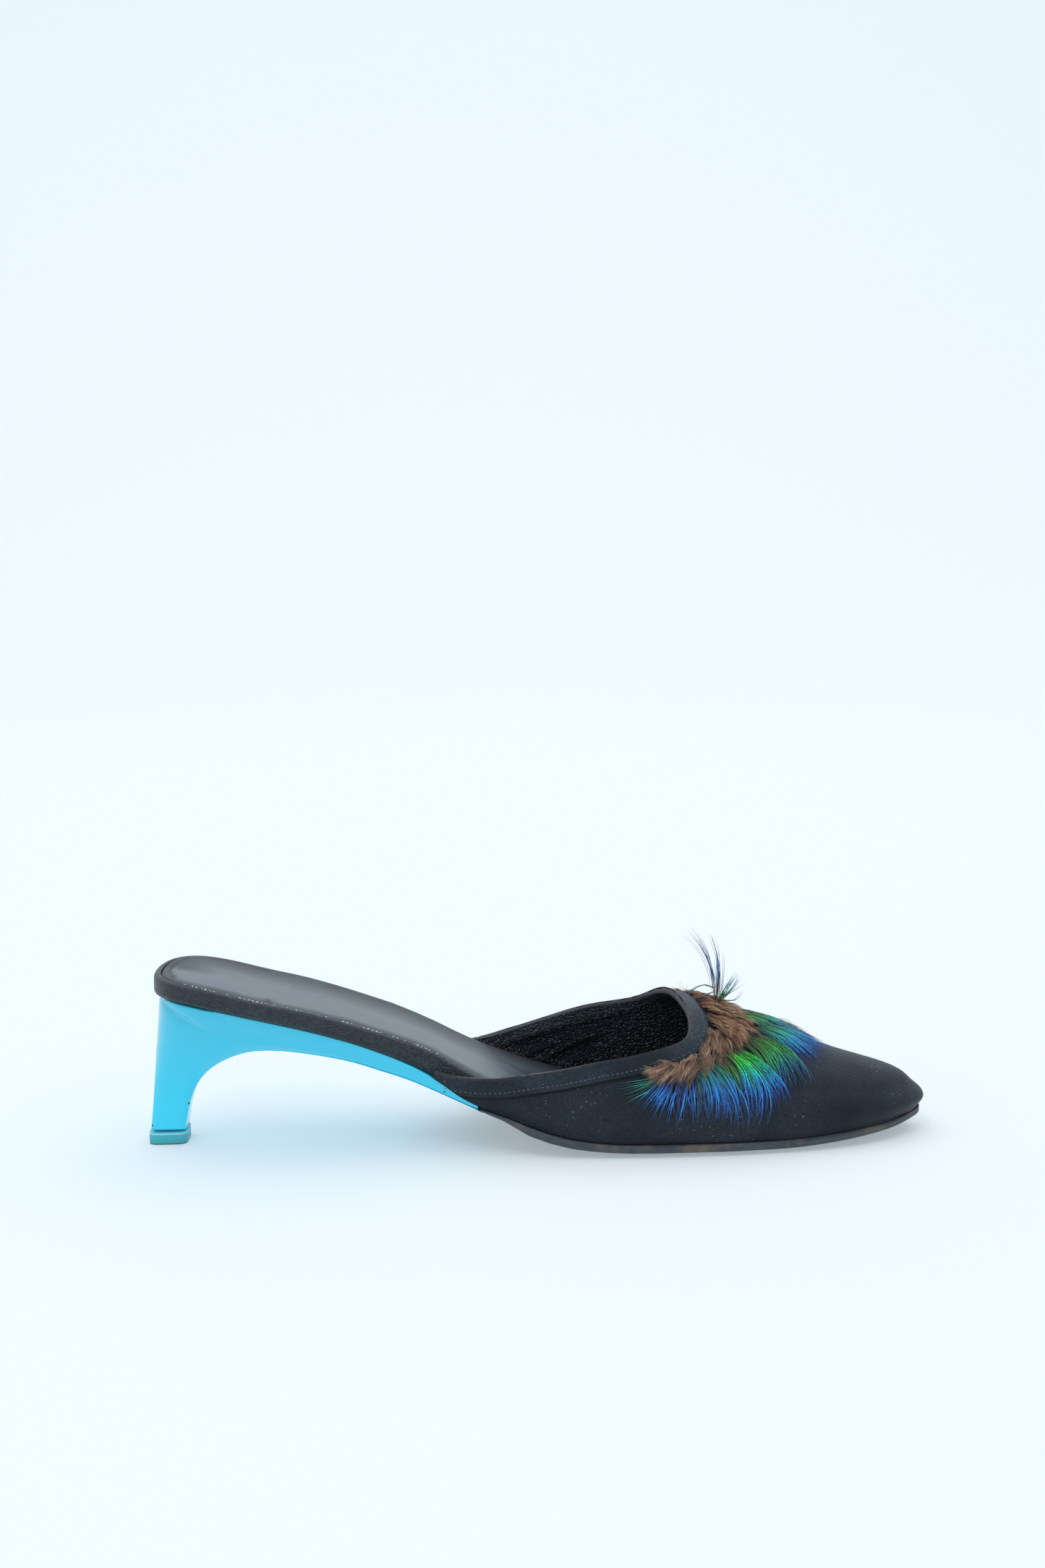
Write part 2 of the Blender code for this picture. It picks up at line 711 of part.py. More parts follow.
def plume(name, root, tip, radius, lean, group):
    """One standing plume: a tapering tube that leaves its root square to the vamp."""
    root = np.asarray(root)
    tip = np.asarray(tip)
    stem = root + np.asarray(lean) * TUFT_STEM
    points = [root]
    for share in np.linspace(0, 1, TUFT_POINTS):
        handle = stem + np.asarray(lean) * (tip[2] - stem[2]) * 0.5
        bend = (1 - share) ** 2 * stem + 2 * share * (1 - share) * handle + share ** 2 * tip
        points.append(bend)
    data = bpy.data.curves.new(name, "CURVE")
    data.dimensions = "3D"
    data.bevel_depth = MM
    data.bevel_resolution = 1
    data.use_fill_caps = True
    spline = data.splines.new("POLY")
    spline.points.add(len(points) - 1)
    for number, point in enumerate(points):
        share = max(number - 1, 0) / TUFT_POINTS
        spline.points[number].co = (*(float(v) * MM for v in point), 1)
        spline.points[number].radius = radius + (TUFT_TIP_RADIUS - radius) * share
    tube = bpy.data.objects.new(name, data)
    group.objects.link(tube)
    bpy.context.view_layer.update()
    mesh = bpy.data.meshes.new_from_object(tube.evaluated_get(bpy.context.evaluated_depsgraph_get()))
    shape = bmesh.new()
    shape.from_mesh(mesh)
    bmesh.ops.remove_doubles(shape, verts=shape.verts, dist=0.01 * MM)
    bmesh.ops.recalc_face_normals(shape, faces=shape.faces)
    shape.to_mesh(mesh)
    shape.free()
    bpy.data.objects.remove(tube)
    bpy.data.curves.remove(data)
    solid = bpy.data.objects.new(name, mesh)
    group.objects.link(solid)
    return solid


def make_tuft(material, group, cutters):
    """The standing feathers: plumes fused at their root, square to the crown of the vamp."""
    x = float(x_of(TUFT_ALONG))
    y = float(section(TUFT_ALONG)[0])
    ahead = 1.0
    slope = float(upper_height(x + ahead, y) - upper_height(x - ahead, y)) / (2 * ahead)
    lean = np.array((-slope, 0.0, 1.0)) / math.hypot(slope, 1.0)
    base = np.array((x, y, float(upper_height(x, y)))) + lean * TUFT_LIFT
    made = []
    for number, (root_x, root_y, tip_x, tip_y, tip_up, radius) in enumerate(TUFT_PLUMES):
        root = base + (root_x, root_y, root_x * slope)
        tip = base + (tip_x, tip_y, tip_up)
        home = group if number == 0 else cutters
        name = "feather_tuft" if number == 0 else f"plume_{number}"
        made.append(plume(name, root, tip, radius, lean, home))
    tuft = made[0]
    for cutter in made[1:]:
        cutter.hide_render = True
        cutter.display_type = "WIRE"
        union = tuft.modifiers.new(cutter.name, "BOOLEAN")
        union.operation = "UNION"
        union.solver = "EXACT"
        union.object = cutter
    tuft.data.materials.append(material)
    return tuft


def main():
    clear_scene()
    group = new_collection("feather_mule")
    cutters = new_collection("cutters")
    satin = finish_of("black_satin", "#20252E", 0.45)
    leather = finish_of("black_leather", "#1B1D21", 0.4)
    gloss_leather = finish_of("polished_leather", "#3A4047", 0.25)
    sole_leather = finish_of("sole_leather", "#2B2725", 0.6)
    lacquer = finish_of("turquoise_lacquer", "#45CFEF", 0.15)
    rubber = finish_of("teal_rubber", "#4AA9B0", 0.4)
    feather = finish_of("blue_green_feather", "#1F6E9E", 0.4)

    form = upper_form()
    reach = band_ends(form)
    make_outsole(sole_leather, group)
    make_top_lift(rubber, group)
    make_heel(lacquer, group)
    make_footbed(leather, group)
    make_sock(gloss_leather, group)
    make_upper(form, satin, group)
    make_band(form, reach, satin, group)
    make_trim(form, reach, feather, group)
    make_tuft(feather, group, cutters)


if __name__ == "__main__":
    main()
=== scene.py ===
"""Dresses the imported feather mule: satin, kid lining, polished sock, lacquered heel and feathers.

X runs to the toe, Y to the outer side and Z up, in metres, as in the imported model.
"""

import math

import bmesh
import bpy
import numpy as np
from mathutils import Matrix, Vector
from mathutils.bvhtree import BVHTree
from mathutils.kdtree import KDTree


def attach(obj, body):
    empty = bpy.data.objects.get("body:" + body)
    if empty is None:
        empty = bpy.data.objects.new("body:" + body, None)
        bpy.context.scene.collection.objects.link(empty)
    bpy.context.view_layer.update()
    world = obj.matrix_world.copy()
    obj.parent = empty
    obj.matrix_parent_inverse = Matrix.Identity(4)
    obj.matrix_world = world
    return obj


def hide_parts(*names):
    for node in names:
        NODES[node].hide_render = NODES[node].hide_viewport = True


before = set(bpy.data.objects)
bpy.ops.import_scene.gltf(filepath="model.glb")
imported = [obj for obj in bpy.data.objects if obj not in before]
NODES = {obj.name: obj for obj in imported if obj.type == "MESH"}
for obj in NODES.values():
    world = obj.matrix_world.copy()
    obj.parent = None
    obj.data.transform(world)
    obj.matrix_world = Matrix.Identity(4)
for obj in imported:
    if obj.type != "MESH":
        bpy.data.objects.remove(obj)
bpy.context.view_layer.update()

bl_info = {
    "name": "Feather Mule",
    "version": (1, 0, 0),
    "blender": (4, 5, 0),
    "location": "View3D > Sidebar > Mule",
    "description": "Dresses a satin mule with its lining, stitches, lacquer and feathers",
    "category": "Object",
}

MM = 0.001


def linear(hex_colour):
    """Turns an sRGB hex colour into linear values."""
    values = []
    for start in (1, 3, 5):
        part = int(hex_colour[start:start + 2], 16) / 255
        values.append(part / 12.92 if part <= 0.04045 else ((part + 0.055) / 1.055) ** 2.4)
    return tuple(values)


def colour_property(name, description, hex_colour):
    return bpy.props.FloatVectorProperty(
        name=name, description=description, default=linear(hex_colour), subtype="COLOR", size=3, min=0, max=1
    )


def length_property(name, description, default):
    return bpy.props.FloatProperty(
        name=name, description=description, default=default, unit="LENGTH", precision=5
    )


class MuleSizes(bpy.types.PropertyGroup):
    """Sizes that a user would change."""
    lap: length_property("Band lap", "How far the topline band stands off the satin", 0.0007)
    band_width: length_property("Band width", "Width of the topline band", 0.0062)
    stitch_pitch: length_property("Stitch pitch", "Distance from one stitch to the next", 0.0015)
    stitch_length: length_property("Stitch length", "Length of a stitch", 0.00095)
    stitch_width: length_property("Stitch width", "Width of the thread", 0.0003)
    barb_width: length_property("Barb width", "Width of one barb of the spray", 0.00042)
    hair_width: length_property("Down width", "Width of one hair of the down", 0.00017)
    hairs: bpy.props.IntProperty(
        name="Down hairs", description="How many hairs the down has", default=6800, min=560
    )


class MuleColours(bpy.types.PropertyGroup):
    """Colours that a user would change."""
    satin: colour_property("Satin", "Upper and band", "#0B1017")
    lining: colour_property("Lining", "Inside of the upper", "#222930")
    board: colour_property("Footbed", "Leather round the insole board", "#19262F")
    sock: colour_property("Sock", "Leather under the foot", "#2B3743")
    lacquer: colour_property("Lacquer", "Heel", "#2CDCFF")
    lift: colour_property("Top piece", "Rubber under the heel", "#42ACB6")
    sole: colour_property("Sole", "Outsole leather", "#272A2D")
    thread: colour_property("Thread", "Stitches", "#7C8792")
    floor: colour_property("Floor", "Floor and backdrop", "#F5FCFF")


def sizes():
    return bpy.context.scene.mule_sizes


def colours():
    return bpy.context.scene.mule_colours


# Lines and points

def distances(line):
    """How far along a line each of its points lies."""
    return np.concatenate(((0.0,), np.cumsum(np.linalg.norm(np.diff(line, axis=0), axis=1))))


def point_at(line, run, mark):
    """The place on a line at a distance from its start."""
    return Vector([np.interp(mark, run, line[:, axis]) for axis in range(3)])


def averaged(values, width):
    """A moving average."""
    return np.convolve(values, np.ones(width) / width, "valid")


def nearest_of(points):
    """A search tree over points."""
    tree = KDTree(len(points))
    for number, point in enumerate(points):
        tree.insert(Vector(point), number)
    tree.balance()
    return tree


# Materials

# Widths of the patterns, in millimetres
SATIN_CLOUD = 20.0
SATIN_GRAIN = 0.625
# real satin has ten threads to a millimetre, too fine to show
SATIN_THREAD = 0.5
DUST_GAP = 1.667
DUST_PATCH = 20.0
# real pebbles are about half as wide, too fine to show
KID_PEBBLE = 1.3
BOARD_PEBBLE = 0.9
PEBBLE_BEND = 2.0
LEATHER_CLOUD = 14.29
SOCK_SMEAR = 8.333
SOCK_PORE = 0.4545
LACQUER_WAVE = 8.333
RUBBER_SCUFF = 0.909
SOLE_LAYER = 1.111
SOLE_RUBBED = 10.0
THREAD_TWIST = 0.4167
BARB_FLECK = 0.7143
NIB_FLECK = 1.25
SHEET_WEAVE = 2.857

# How far below the topline the lining's binding strip ends, in millimetres
STRIP_WIDTH = 3.4

# A wave pattern of scale 1 repeats after this distance
WAVE_PERIOD = math.pi / 10

# Fixed colours of the finish, wear and dust, of painted shade and painted light, and of the studio air
FIXED_COLOURS = {
    "rubbed satin": "#5A4C42",
    "dust": "#8A929A",
    "binding strip": "#3A444E",
    "sock border shade": "#141A20",
    "heel core": "#1B2A30",
    "rubber bottom": "#1E4A3A",
    "sole layer": "#525C66",
    "rubbed sole": "#6E6458",
    "thread shade": "#20252C",
    "nib valley": "#39434D",
    "nib glint": "#E2EAF0",
    "sheet glow": "#EAF7FF",
    "studio air": "#F6FBFF",
}


def fixed_colour(name):
    """One of the fixed colours, with its alpha."""
    return (*linear(FIXED_COLOURS[name]), 1)

def node(tree, kind, place, values=None, links=None, **settings):
    """Adds a node with its settings, socket values and incoming links."""
    made = tree.nodes.new(kind)
    made.location = (place[0] * 200, place[1] * -180)
    for name, value in settings.items():
        setattr(made, name, value)
    for socket, value in (values or {}).items():
        made.inputs[socket].default_value = value
    for socket, source in (links or {}).items():
        tree.links.new(source, made.inputs[socket])
    return made


def new_material(name, roughness, **sockets):
    """Starts a material and returns it with its tree and shader."""
    material = bpy.data.materials.new(name)
    material.use_nodes = True
    shader = material.node_tree.nodes["Principled BSDF"]
    shader.inputs["Roughness"].default_value = roughness
    for socket, value in sockets.items():
        shader.inputs[socket.replace("_", " ")].default_value = value
    return material, material.node_tree, shader


def millimetres(tree):
    """Object coordinates in millimetres."""
    coordinates = node(tree, "ShaderNodeTexCoord", (-9, 0))
    scaled = node(
        tree, "ShaderNodeVectorMath", (-8, 0), {1: (1000, 1000, 1000)},
        {0: coordinates.outputs["Object"]}, operation="MULTIPLY",
    )
    return scaled.outputs[0]


def satin_material(name, gain):
    # Black duchesse satin, woven and calendered: a soft sheen, faint warp ribs, dust in the weave
    material, tree, shader = new_material(
        name, 0.55, Specular_IOR_Level=0.28, Specular_Tint=(0.75, 0.9, 1.0, 1.0),
        Sheen_Weight=0.1, Sheen_Roughness=0.45, Sheen_Tint=(0.75, 0.85, 1.0, 1.0),
    )
    place = millimetres(tree)
    cloud = node(
        tree, "ShaderNodeTexNoise", (-6, 0), {"Scale": 1 / SATIN_CLOUD, "Detail": 4.0}, {"Vector": place}
    )
    patches = node(tree, "ShaderNodeMapRange", (-5, 0), {1: 0.35, 2: 0.65}, {0: cloud.outputs["Fac"]})
    dark = tuple(gain * c for c in colours().satin)
    light = tuple(gain * (2.6 * c + 0.0045) for c in colours().satin)
    tone = node(
        tree, "ShaderNodeMix", (-3, 0), {6: (*dark, 1), 7: (*light, 1)},
        {0: patches.outputs[0]}, data_type="RGBA",
    )
    # the turned edge is rubbed brown in places, over its first millimetre
    from_edge = node(tree, "ShaderNodeAttribute", (-6, 6), attribute_name="from_edge")
    edge = node(
        tree, "ShaderNodeMapRange", (-5, 6), {1: 0.2, 2: 1.2, 3: 0.8, 4: 0.0}, {0: from_edge.outputs["Fac"]}
    )
    rubbed = node(
        tree, "ShaderNodeMath", (-4, 6), {},
        {0: edge.outputs[0], 1: cloud.outputs["Fac"]}, operation="MULTIPLY",
    )
    brown = node(
        tree, "ShaderNodeMix", (-2, 0), {7: fixed_colour("rubbed satin")}, {0: rubbed.outputs[0], 6: tone.outputs[2]},
        data_type="RGBA",
    )
    # painted shade: a dark line follows the band's seam, the shadow under the band's edge and in the pucker
    # where the seam draws the satin in
    past_seam = node(
        tree, "ShaderNodeMath", (-5, 7), {1: sizes().band_width / MM + 0.3}, {0: from_edge.outputs["Fac"]},
        operation="SUBTRACT",
    )
    beside = node(tree, "ShaderNodeMath", (-4, 7), {}, {0: past_seam.outputs[0]}, operation="ABSOLUTE")
    painted_seam_shade = node(
        tree, "ShaderNodeMapRange", (-3, 7), {1: 0.25, 2: 0.75, 3: 0.25, 4: 1.0},
        {0: beside.outputs[0]},
    )
    seam_shaded = node(
        tree, "ShaderNodeVectorMath", (-2, 1), {},
        {0: brown.outputs[2], 3: painted_seam_shade.outputs[0]}, operation="SCALE",
    )
    fine = node(
        tree, "ShaderNodeTexNoise", (-6, 2), {"Scale": 1 / SATIN_GRAIN, "Detail": 3.0}, {"Vector": place}
    )
    grain = node(
        tree, "ShaderNodeMapRange", (-5, 2), {1: 0.3, 2: 0.7, 3: 0.5, 4: 1.7},
        {0: fine.outputs["Fac"]},
    )
    woven = node(
        tree, "ShaderNodeVectorMath", (-2, 2), {},
        {0: seam_shaded.outputs[0], 3: grain.outputs[0]}, operation="SCALE",
    )
    # specks of dust lie together in patches
    dust = node(tree, "ShaderNodeTexVoronoi", (-6, 8), {"Scale": 1 / DUST_GAP}, {"Vector": place})
    speck = node(
        tree, "ShaderNodeMapRange", (-5, 8), {1: 0.07, 2: 0.12, 3: 1.0, 4: 0.0}, {0: dust.outputs["Distance"]}
    )
    spread = node(
        tree, "ShaderNodeTexNoise", (-6, 10), {"Scale": 1 / DUST_PATCH, "Detail": 1.0}, {"Vector": place}
    )
    where = node(tree, "ShaderNodeMapRange", (-5, 10), {1: 0.5, 2: 0.64}, {0: spread.outputs["Fac"]})
    dusty = node(
        tree, "ShaderNodeMath", (-4, 8), {}, {0: speck.outputs[0], 1: where.outputs[0]}, operation="MULTIPLY"
    )
    dusted = node(
        tree, "ShaderNodeMix", (-1, 0), {7: fixed_colour("dust")}, {0: dusty.outputs[0], 6: woven.outputs[0]},
        data_type="RGBA",
    )
    tree.links.new(dusted.outputs[2], shader.inputs["Base Color"])
    warp = node(
        tree, "ShaderNodeTexWave", (-6, 4),
        {"Scale": WAVE_PERIOD / SATIN_THREAD, "Distortion": 1.2, "Detail": 2.0, "Detail Scale": 2.0},
        {"Vector": place}, bands_direction="Z",
    )
    relief = node(
        tree, "ShaderNodeMath", (-4, 4), {1: 0.6}, {0: warp.outputs["Fac"], 2: fine.outputs["Fac"]},
        operation="MULTIPLY_ADD",
    )
    bump = node(
        tree, "ShaderNodeBump", (-1, 4), {"Strength": 0.6, "Distance": 0.12 * MM},
        {"Height": relief.outputs[0]},
    )
    tree.links.new(bump.outputs[0], shader.inputs["Normal"])
    return material


def grained_leather(name, colour, pebble, roughness, depth, light, strip=False):
    # Kid leather, drum dyed: small pebbles with dark valleys that glint on their tops
    material, tree, shader = new_material(name, roughness, Specular_IOR_Level=0.5)
    place = millimetres(tree)
    warped = node(
        tree, "ShaderNodeTexNoise", (-7, 2), {"Scale": 1 / PEBBLE_BEND, "Detail": 2.0}, {"Vector": place}
    )
    moved = node(
        tree, "ShaderNodeVectorMath", (-6, 2), {1: (1.2, 1.2, 1.2)},
        {0: warped.outputs["Color"], 2: place}, operation="MULTIPLY_ADD",
    )
    cells = node(
        tree, "ShaderNodeTexVoronoi", (-5, 2), {"Scale": 1 / pebble}, {"Vector": moved.outputs[0]},
        feature="DISTANCE_TO_EDGE",
    )
    top = node(tree, "ShaderNodeMapRange", (-4, 2), {1: 0.0, 2: 0.28}, {0: cells.outputs["Distance"]})
    cloud = node(
        tree, "ShaderNodeTexNoise", (-6, 0), {"Scale": 1 / LEATHER_CLOUD, "Detail": 3.0}, {"Vector": place}
    )
    brighter = tuple(min(1, light * c) for c in colour)
    tone = node(
        tree, "ShaderNodeMix", (-3, 0), {6: (*colour, 1), 7: (*brighter, 1)}, {0: cloud.outputs["Fac"]},
        data_type="RGBA",
    )
    if strip:
        # a grey binding strip runs inside the topline
        from_edge = node(tree, "ShaderNodeAttribute", (-6, 6), attribute_name="from_edge")
        band = node(
            tree, "ShaderNodeMapRange", (-5, 6), {1: STRIP_WIDTH, 2: STRIP_WIDTH + 0.3, 3: 1.0, 4: 0.0},
            {0: from_edge.outputs["Fac"]},
        )
        tone = node(
            tree, "ShaderNodeMix", (-2, 0), {7: fixed_colour("binding strip")},
            {0: band.outputs[0], 6: tone.outputs[2]},
            data_type="RGBA",
        )
    tree.links.new(tone.outputs[2], shader.inputs["Base Color"])
    bump = node(
        tree, "ShaderNodeBump", (-1, 2), {"Strength": 0.8, "Distance": depth * MM}, {"Height": top.outputs[0]}
    )
    tree.links.new(bump.outputs[0], shader.inputs["Normal"])
    return material


def sock_material():
    # Glazed calf, polished by the foot: smooth, with long soft smears
    material, tree, shader = new_material(
        "polished_sock_leather", 0.3, Specular_IOR_Level=0.6, Coat_Weight=0.25, Coat_Roughness=0.25
    )
    place = millimetres(tree)
    stretched = node(tree, "ShaderNodeMapping", (-7, 0), {"Scale": (0.25, 1.0, 1.0)}, {"Vector": place})
    smear = node(
        tree, "ShaderNodeTexNoise", (-6, 0), {"Scale": 1 / SOCK_SMEAR, "Detail": 5.0},
        {"Vector": stretched.outputs[0]},
    )
    polish = node(tree, "ShaderNodeMapRange", (-5, 0), {1: 0.35, 2: 0.7}, {0: smear.outputs["Fac"]})
    pale = tuple(min(1, 2.1 * c + 0.01) for c in colours().sock)
    tone = node(
        tree, "ShaderNodeMix", (-3, 0), {6: (*colours().sock, 1), 7: (*pale, 1)}, {0: polish.outputs[0]},
        data_type="RGBA",
    )
    # painted shade: the sock is darkened near its border, widely on the outer side, with a dark line where
    # the pressed groove follows the edge; the border is also duller
    rim = node(tree, "ShaderNodeAttribute", (-5, 6), attribute_name="rim_shade")
    shaded = node(
        tree, "ShaderNodeMix", (-2, 0), {7: fixed_colour("sock border shade")}, {0: rim.outputs["Fac"], 6: tone.outputs[2]},
        data_type="RGBA",
    )
    tree.links.new(shaded.outputs[2], shader.inputs["Base Color"])
    rough = node(
        tree, "ShaderNodeMapRange", (-3, 2), {1: 0.3, 2: 0.75, 3: 0.26, 4: 0.42},
        {0: smear.outputs["Fac"]},
    )
    dull = node(
        tree, "ShaderNodeMath", (-2, 2), {1: 0.6}, {0: rim.outputs["Fac"], 2: rough.outputs[0]},
        operation="MULTIPLY_ADD", use_clamp=True,
    )
    tree.links.new(dull.outputs[0], shader.inputs["Roughness"])
    pores = node(
        tree, "ShaderNodeTexNoise", (-6, 4), {"Scale": 1 / SOCK_PORE, "Detail": 2.0},
        {"Vector": place},
    )
    bump = node(
        tree, "ShaderNodeBump", (-1, 4), {"Strength": 0.2, "Distance": 0.06 * MM},
        {"Height": pores.outputs["Fac"]},
    )
    tree.links.new(bump.outputs[0], shader.inputs["Normal"])
    return material


# Small chips and dents in the lacquer, in millimetres: place on the heel and size
CHIPS = (
    # x  y  z  size
    (9.5, -21.5, 43.0, 0.5),
    (-4.4, -7.0, 15.5, 0.7),
    (7.4, -6.2, 14.0, 0.55),
    (91.6, -22.0, 20.4, 0.45),
    (-5.2, -5.2, 6.4, 0.6),
    (22.0, -21.0, 39.0, 0.35),
)


def lacquer_material():
    # Sprayed polyurethane lacquer over a moulded heel: deep gloss, a few chips down to the dark core
    material, tree, shader = new_material(
        "turquoise_lacquer_gloss", 0.2, Coat_Weight=0.5, Coat_Roughness=0.08, Specular_IOR_Level=0.5
    )
    place = millimetres(tree)
    # painted light and shade: the lacquer keeps its given colour low down, where the floor's bounce light
    # brightens it, and turns darker, less blue and a little redder from 12 to 46 mm up towards the seat
    height = node(tree, "ShaderNodeSeparateXYZ", (-7, 0), {}, {0: place})
    up = node(tree, "ShaderNodeMapRange", (-6, 0), {1: 12.0, 2: 46.0}, {0: height.outputs["Z"]})
    red, green, blue = colours().lacquer
    painted_upper_shade = (1.2 * red, 0.8 * green, 0.8 * blue, 1)
    tone = node(
        tree, "ShaderNodeMix", (-4, 0), {6: (red, green, blue, 1), 7: painted_upper_shade},
        {0: up.outputs[0]}, data_type="RGBA",
    )
    chipped = None
    for row, (x, y, z, size) in enumerate(CHIPS):
        away = node(
            tree, "ShaderNodeVectorMath", (-6, 2 + row), {1: (x, y, z)}, {0: place}, operation="DISTANCE"
        )
        spot = node(
            tree, "ShaderNodeMapRange", (-5, 2 + row), {1: size * 0.7, 2: size, 3: 1.0, 4: 0.0},
            {0: away.outputs["Value"]},
        )
        if chipped is None:
            chipped = spot.outputs[0]
        else:
            chipped = node(
                tree, "ShaderNodeMath", (-4, 2 + row), {},
                {0: chipped, 1: spot.outputs[0]}, operation="MAXIMUM",
            ).outputs[0]
    marked = node(
        tree, "ShaderNodeMix", (-2, 0), {7: fixed_colour("heel core")}, {0: chipped, 6: tone.outputs[2]},
        data_type="RGBA",
    )
    tree.links.new(marked.outputs[2], shader.inputs["Base Color"])
    wavy = node(
        tree, "ShaderNodeTexNoise", (-6, -2), {"Scale": 1 / LACQUER_WAVE, "Detail": 1.0}, {"Vector": place}
    )
    bump = node(
        tree, "ShaderNodeBump", (-1, 4), {"Strength": 0.15, "Distance": 0.4 * MM},
        {"Height": wavy.outputs["Fac"]},
    )
    tree.links.new(bump.outputs[0], shader.inputs["Normal"])
    return material


# The rubber's colours above its own: share of the block's height and colour, with a pale band near the top
RUBBER_TONES = (
    (0.80, "#4AB6C4"),
    (0.88, "#9CE4EE"),
    (1.00, "#70D0DE"),
)


def rubber_material():
    # Moulded rubber top piece: satin and scuffed, darker at the bottom
    material, tree, shader = new_material("teal_rubber_block", 0.42, Specular_IOR_Level=0.4)
    place = millimetres(tree)
    height = node(tree, "ShaderNodeSeparateXYZ", (-7, 0), {}, {0: place})
    share = node(tree, "ShaderNodeMapRange", (-5, 0), {1: 0.0, 2: 4.0}, {0: height.outputs["Z"]})
    ramp = node(tree, "ShaderNodeValToRGB", (-4, 0), {}, {0: share.outputs[0]})
    stops = ramp.color_ramp.elements
    stops[0].color = fixed_colour("rubber bottom")
    stops[1].position = 0.16
    stops[1].color = (*colours().lift, 1)
    for position, tint in RUBBER_TONES:
        stop = stops.new(position)
        stop.color = (*linear(tint), 1)
    tree.links.new(ramp.outputs[0], shader.inputs["Base Color"])
    scuff = node(
        tree, "ShaderNodeTexNoise", (-6, 3), {"Scale": 1 / RUBBER_SCUFF, "Detail": 4.0}, {"Vector": place}
    )
    bump = node(
        tree, "ShaderNodeBump", (-1, 3), {"Strength": 0.4, "Distance": 0.1 * MM},
        {"Height": scuff.outputs["Fac"]},
    )
    tree.links.new(bump.outputs[0], shader.inputs["Normal"])
    return material


def sole_material():
    # Bark-tanned sole leather, stained dark: layered edge, rubbed brown and grey where it is worn
    material, tree, shader = new_material("stained_sole_leather", 0.6, Specular_IOR_Level=0.4)
    place = millimetres(tree)
    flat = node(tree, "ShaderNodeMapping", (-7, 0), {"Scale": (0.35, 0.35, 3.0)}, {"Vector": place})
    layers = node(
        tree, "ShaderNodeTexNoise", (-6, 0), {"Scale": 1 / SOLE_LAYER, "Detail": 4.0},
        {"Vector": flat.outputs[0]},
    )
    tone = node(
        tree, "ShaderNodeMix", (-4, 0), {6: (*colours().sole, 1), 7: fixed_colour("sole layer")},
        {0: layers.outputs["Fac"]}, data_type="RGBA",
    )
    patches = node(
        tree, "ShaderNodeTexNoise", (-6, 2), {"Scale": 1 / SOLE_RUBBED, "Detail": 5.0}, {"Vector": place}
    )
    rubbed = node(tree, "ShaderNodeMapRange", (-5, 2), {1: 0.5, 2: 0.74}, {0: patches.outputs["Fac"]})
    worn = node(
        tree, "ShaderNodeMix", (-3, 0), {7: fixed_colour("rubbed sole")}, {0: rubbed.outputs[0], 6: tone.outputs[2]},
        data_type="RGBA",
    )
    tree.links.new(worn.outputs[2], shader.inputs["Base Color"])
    bump = node(
        tree, "ShaderNodeBump", (-1, 3), {"Strength": 0.5, "Distance": 0.15 * MM},
        {"Height": layers.outputs["Fac"]},
    )
    tree.links.new(bump.outputs[0], shader.inputs["Normal"])
    return material


def flecked_material(name, roughness, specular, fleck_width, ground, fleck, low=0.0, painted_upper_shade=1.0):
    """A material of one colour with small flecks of another."""
    material, tree, shader = new_material(name, roughness, Specular_IOR_Level=specular)
    noise = node(
        tree, "ShaderNodeTexNoise", (-6, 0), {"Scale": 1 / fleck_width, "Detail": 2.0},
        {"Vector": millimetres(tree)},
    )
    share = node(tree, "ShaderNodeMapRange", (-5, 0), {1: low, 2: painted_upper_shade}, {0: noise.outputs["Fac"]})
    tone = node(
        tree, "ShaderNodeMix", (-3, 0), {6: ground, 7: fleck},
        {0: share.outputs[0]}, data_type="RGBA",
    )
    tree.links.new(tone.outputs[2], shader.inputs["Base Color"])
    return material


def thread_material():
    # Twisted polyester thread, waxed: slightly lighter than the satin, with a fine twist
    ground = (*colours().thread, 1)
    return flecked_material("dark_thread", 0.5, 0.5, THREAD_TWIST, ground, fixed_colour("thread shade"))


def nib_material():
    # Crimped edge of glazed calf. Painted highlight: near-white flecks on a grey ground stand for the light
    # that its raised nibs catch
    return flecked_material(
        "glazed_edge_nibs", 0.25, 0.8, NIB_FLECK, fixed_colour("nib valley"), fixed_colour("nib glint"), 0.4, 0.55
    )


def feather_material(name, roughness, sheen, specular):
    # Dyed and natural feather: each barb carries its own colour along its length
    material, tree, shader = new_material(
        name, roughness, Sheen_Weight=sheen, Sheen_Roughness=0.3, Specular_IOR_Level=specular
    )
    tint = node(tree, "ShaderNodeAttribute", (-5, 0), attribute_name="tint")
    place = millimetres(tree)
    fleck = node(
        tree, "ShaderNodeTexNoise", (-6, 2), {"Scale": 1 / BARB_FLECK, "Detail": 2.0},
        {"Vector": place},
    )
    shade = node(
        tree, "ShaderNodeMapRange", (-5, 2), {1: 0.3, 2: 0.7, 3: 0.8, 4: 1.5},
        {0: fleck.outputs["Fac"]},
    )
    tone = node(
        tree, "ShaderNodeVectorMath", (-3, 0), {},
        {0: tint.outputs["Color"], 3: shade.outputs[0]}, operation="SCALE",
    )
    tree.links.new(tone.outputs[0], shader.inputs["Base Color"])
    return material


